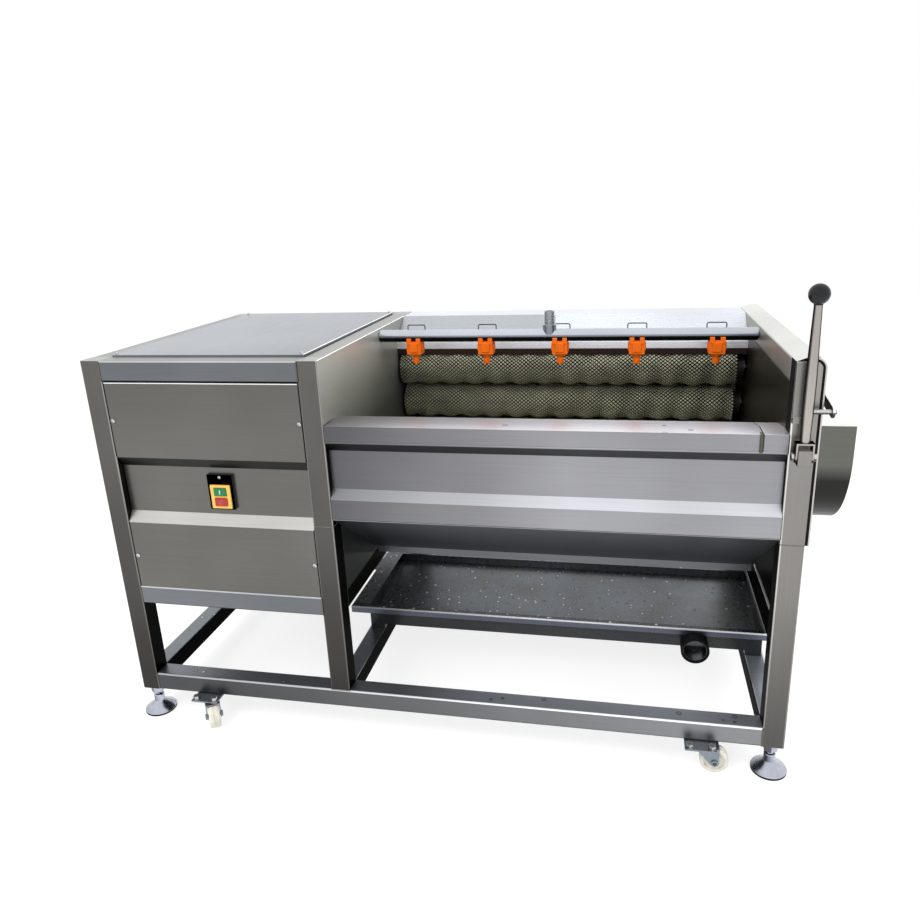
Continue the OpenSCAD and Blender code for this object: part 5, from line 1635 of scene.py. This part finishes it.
@dataclass
class Drive:
    """What is behind the cabinet's panels: gearmotor, chains, bearings, drive sprocket and cable gland."""

    motor_y: float = 330.0
    motor_z: float = 640.0
    motor_start: float = 159.0
    motor_end: float = 389.0
    motor_r: float = 75.0
    fins: int = 24
    pieces: tuple[Dressed, ...] = (
        Dressed("shaft_bearings", "bearing_housings", Finish.BEARING, 2.0, "bearing_iron", sharp=SHARP),
        Dressed("drive_chains", "roller_chains", Finish.OILED, 1.0, "chain_steel", segments=1, sharp=40.0),
        Dressed(
            "drive_sprocket", "motor_sprocket", Finish.OILED, 0.6, "chain_steel", "drive_sprocket", 1, SHARP,
        ),
        Dressed("cable_gland", "gland_body", Finish.SWITCH_BLACK, 0.8, "black_plastic", sharp=SHARP),
    )

    def motor(self, washer: Washer) -> None:
        """Dresses the gearmotor with cooling fins, a fan cowl and a terminal box."""
        parts = [Bench.soften(washer.copy_node("gearmotor", "gear_motor"), 5.0, 3, 40.0)]
        y, z, r = self.motor_y, self.motor_z, self.motor_r
        left, right = self.motor_start + 60, self.motor_end - 12
        for i in range(self.fins):
            fin = Bench.block("fin", (left, y - 1.5, z + r - 3), (right, y + 1.5, z + r + 7), 0.8)
            parts.append(Bench.tilt(fin, (0, y, z), 360.0 / self.fins * i))
        cowl = [(r - 6, -2.0), (r + 4, 0.0), (r + 8, 4.0), (r + 8, 50.0), (r - 2, 50.0)]
        parts.append(Bench.turned("cowl", cowl, (self.motor_start, y, z), Axis.X, 56))
        parts.append(Bench.block("terminal_box", (230, y - 45, z + r), (330, y + 45, z + r + 45), 4.0, 3))
        washer.put(Bench.join("gear_motor", parts), Finish.MOTOR, FRAME_BODY, "gearmotor", slot="motor_alloy")

    def build(self, washer: Washer) -> None:
        """Dresses the drive's pieces."""
        self.motor(washer)
        for piece in self.pieces:
            piece.dress(washer)


@dataclass
class Welds:
    """The seams where the posts are spliced, and where the rails and the rear panel meet them."""

    bead: float = 1.1
    tube: float = 50.0
    ripple: float = 0.25
    base_z: float = 80.0

    def ring(self, x: float, y: float, z: float) -> Piece:
        """Lays a bead round a post at a height."""
        t = self.tube
        path = [(x, y, z), (x + t, y, z), (x + t, y + t, z), (x, y + t, z)]
        return Bench.wire("seam", path, self.bead, True, 4.6)

    def line(self, start: Point, end: Point, thick: float = 1.5) -> Piece:
        """Lays a rippled bead between two points, so many times as thick as the plain one."""
        a, b = Vector(start), Vector(end)
        steps = max(int((b - a).length / 3.0), 2)
        path = [tuple(a + (b - a) * (i / steps)) for i in range(steps + 1)]
        seam = Bench.wire("seam", path, self.bead * thick)
        for i, vertex in enumerate(seam.data.vertices):
            vertex.co += Vector((0, 0, self.ripple * MM * math.sin(i * 0.9)))
        return seam

    def upright(self, x: float, y: float, z: float) -> Piece:
        """Lays a bead up the end of a rail whose underside is at a height."""
        return self.line((x, y, z + 2), (x, y, z + self.tube - 2))

    def build(self, washer: Washer) -> None:
        """Lays every seam."""
        seams = [self.ring(x, y, z) for x, z in ((550, 584), (1600, 592)) for y in (0, 750)]
        top = self.base_z + self.tube
        for y in (-0.2, 800.2):
            for z in (self.base_z, 343.0, 935.0):
                seams.append(self.upright(50, y, z))
                if z > self.base_z:
                    seams.append(self.upright(550, y, z))
            seams.append(self.upright(1600, y, self.base_z))
            seams.append(self.line((550, y, top), (600, y, top)))
        for x in (598.4, 1601.6):
            seams.append(self.line((x, 798.2, 596), (x, 798.2, 932), 2.2))
        washer.put(Bench.join("weld_seams", seams), Finish.WELD, FRAME_BODY, slot="stainless")


@dataclass(frozen=True)
class Lamp:
    """A square soft light: where it hangs and points and its side in metres, and its power in watts."""

    name: str
    place: Point
    target: Point
    size: float
    power: float

    def hang(self) -> None:
        """Hangs the lamp where no shiny face shows it."""
        data = bpy.data.lights.new(self.name, "AREA")
        data.size = self.size
        data.energy = self.power
        lamp = bpy.data.objects.new(self.name, data)
        lamp.visible_glossy = False
        lamp.location = self.place
        ahead = Vector(self.target) - Vector(self.place)
        lamp.rotation_euler = ahead.to_track_quat("-Z", "Y").to_euler()
        bpy.context.scene.collection.objects.link(lamp)


@dataclass
class Studio:
    """The pale floor, the soft light and the camera."""

    camera_place: Point = (1272.82, -1550.41, 1298.84)
    azimuth: float = 11.98
    elevation: float = 17.52
    roll: float = -2.34
    lens: float = 29.54
    shift: tuple[float, float] = (-0.0125, -0.0165)
    floor_size: float = 40.0
    floor_drop: float = 0.5
    floor_glow: float = 0.6
    floor_light: float = 1.32
    sky_light: float = 0.62
    lamps: tuple[Lamp, ...] = (
        Lamp("key_light", (-1.6, -2.6, 3.4), (0.0, 0.0, 0.6), 2.6, 120.0),
        Lamp("side_light", (3.2, -1.4, 2.4), (0.3, 0.0, 0.6), 2.2, 60.0),
        Lamp("top_light", (0.2, 0.6, 3.6), (0.2, 0.1, 0.8), 2.4, 60.0),
    )

    def seen(self, tree: bpy.types.NodeTree) -> Socket:
        """Returns 1 for the rays that look at the backdrop, straight, in a reflection or through glass."""
        path = tree.nodes.new("ShaderNodeLightPath")
        value = path.outputs["Is Camera Ray"]
        for ray in ("Is Glossy Ray", "Is Transmission Ray"):
            most = tree.nodes.new("ShaderNodeMath")
            most.operation = "MAXIMUM"
            tree.links.new(value, most.inputs[0])
            tree.links.new(path.outputs[ray], most.inputs[1])
            value = most.outputs[0]
        return value

    def floor(self) -> None:
        """Lays a white floor that keeps a soft shadow."""
        bpy.ops.object.select_all(action="DESELECT")
        bpy.ops.mesh.primitive_plane_add(size=self.floor_size, location=(0, 0, -self.floor_drop * MM))
        floor = bpy.context.object
        floor.name = "studio_floor"
        n = Nodes("studio_white")
        n.tree.nodes.remove(n.shader)
        paint = n.add("ShaderNodeBsdfDiffuse")
        paint.inputs["Color"].default_value = (0.9, 0.9, 0.9, 1.0)
        glow = n.add("ShaderNodeEmission")
        glow.inputs["Color"].default_value = (*WHITE, 1.0)
        glow.inputs["Strength"].default_value = self.floor_light
        share = n.add("ShaderNodeMath", operation="MULTIPLY")
        n.link(self.seen(n.tree), share.inputs[0])
        share.inputs[1].default_value = self.floor_glow
        mixed = n.add("ShaderNodeMixShader")
        n.link(share.outputs[0], mixed.inputs[0])
        n.link(paint.outputs[0], mixed.inputs[1])
        n.link(glow.outputs[0], mixed.inputs[2])
        n.link(mixed.outputs[0], n.output.inputs["Surface"])
        floor.data.materials.append(n.material)

    def sky(self) -> None:
        """Makes the world white to look at and even as a light."""
        world = bpy.data.worlds.new("studio_sky")
        bpy.context.scene.world = world
        world.use_nodes = True
        tree = world.node_tree
        tree.nodes.clear()
        output = tree.nodes.new("ShaderNodeOutputWorld")
        back = tree.nodes.new("ShaderNodeBackground")
        light = tree.nodes.new("ShaderNodeBackground")
        mixed = tree.nodes.new("ShaderNodeMixShader")
        back.inputs["Strength"].default_value = 1.0
        back.inputs["Color"].default_value = (*WHITE, 1.0)
        light.inputs["Color"].default_value = (0.95, 0.97, 1.0, 1.0)
        light.inputs["Strength"].default_value = self.sky_light
        tree.links.new(self.seen(tree), mixed.inputs[0])
        tree.links.new(light.outputs[0], mixed.inputs[1])
        tree.links.new(back.outputs[0], mixed.inputs[2])
        tree.links.new(mixed.outputs[0], output.inputs["Surface"])

    def camera(self) -> None:
        """Sets the camera where the photograph was taken."""
        a, e, r = (math.radians(v) for v in (self.azimuth, self.elevation, self.roll))
        ahead = Vector((-math.sin(a) * math.cos(e), math.cos(a) * math.cos(e), -math.sin(e)))
        right = Vector((math.cos(a), math.sin(a), 0.0))
        down = ahead.cross(right)
        side = right * math.cos(r) - down * math.sin(r)
        below = right * math.sin(r) + down * math.cos(r)
        data = bpy.data.cameras.new("photo_camera")
        data.lens = self.lens
        data.sensor_width = 36.0
        data.shift_x, data.shift_y = self.shift
        data.clip_end = 100.0
        camera = bpy.data.objects.new("photo_camera", data)
        turn = Matrix((side, -below, -ahead)).transposed().to_4x4()
        camera.matrix_world = Matrix.Translation(at(*self.camera_place)) @ turn
        bpy.context.scene.collection.objects.link(camera)
        bpy.context.scene.camera = camera

    def build(self) -> None:
        """Sets up the whole studio."""
        self.floor()
        self.sky()
        for lamp in self.lamps:
            lamp.hang()
        self.camera()
        bpy.context.scene.view_settings.view_transform = "Standard"


def main() -> None:
    """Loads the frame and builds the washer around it."""
    logging.basicConfig(level=logging.INFO, format="%(name)s: %(message)s")
    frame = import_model()
    washer = Washer(frame["nodes"])
    Studio().build()
    parts: tuple[Callable[[Washer], None], ...] = (
        Steelwork().build, Brushes().build, Spray().build, Switch().build, Fasteners().build, Lever().build,
        Feet().build, Casters().build, Drive().build, Welds().build,
    )
    for build in parts:
        build(washer)
    log.info("%d pieces made", len(washer.made))


if __name__ == "__main__":
    main()
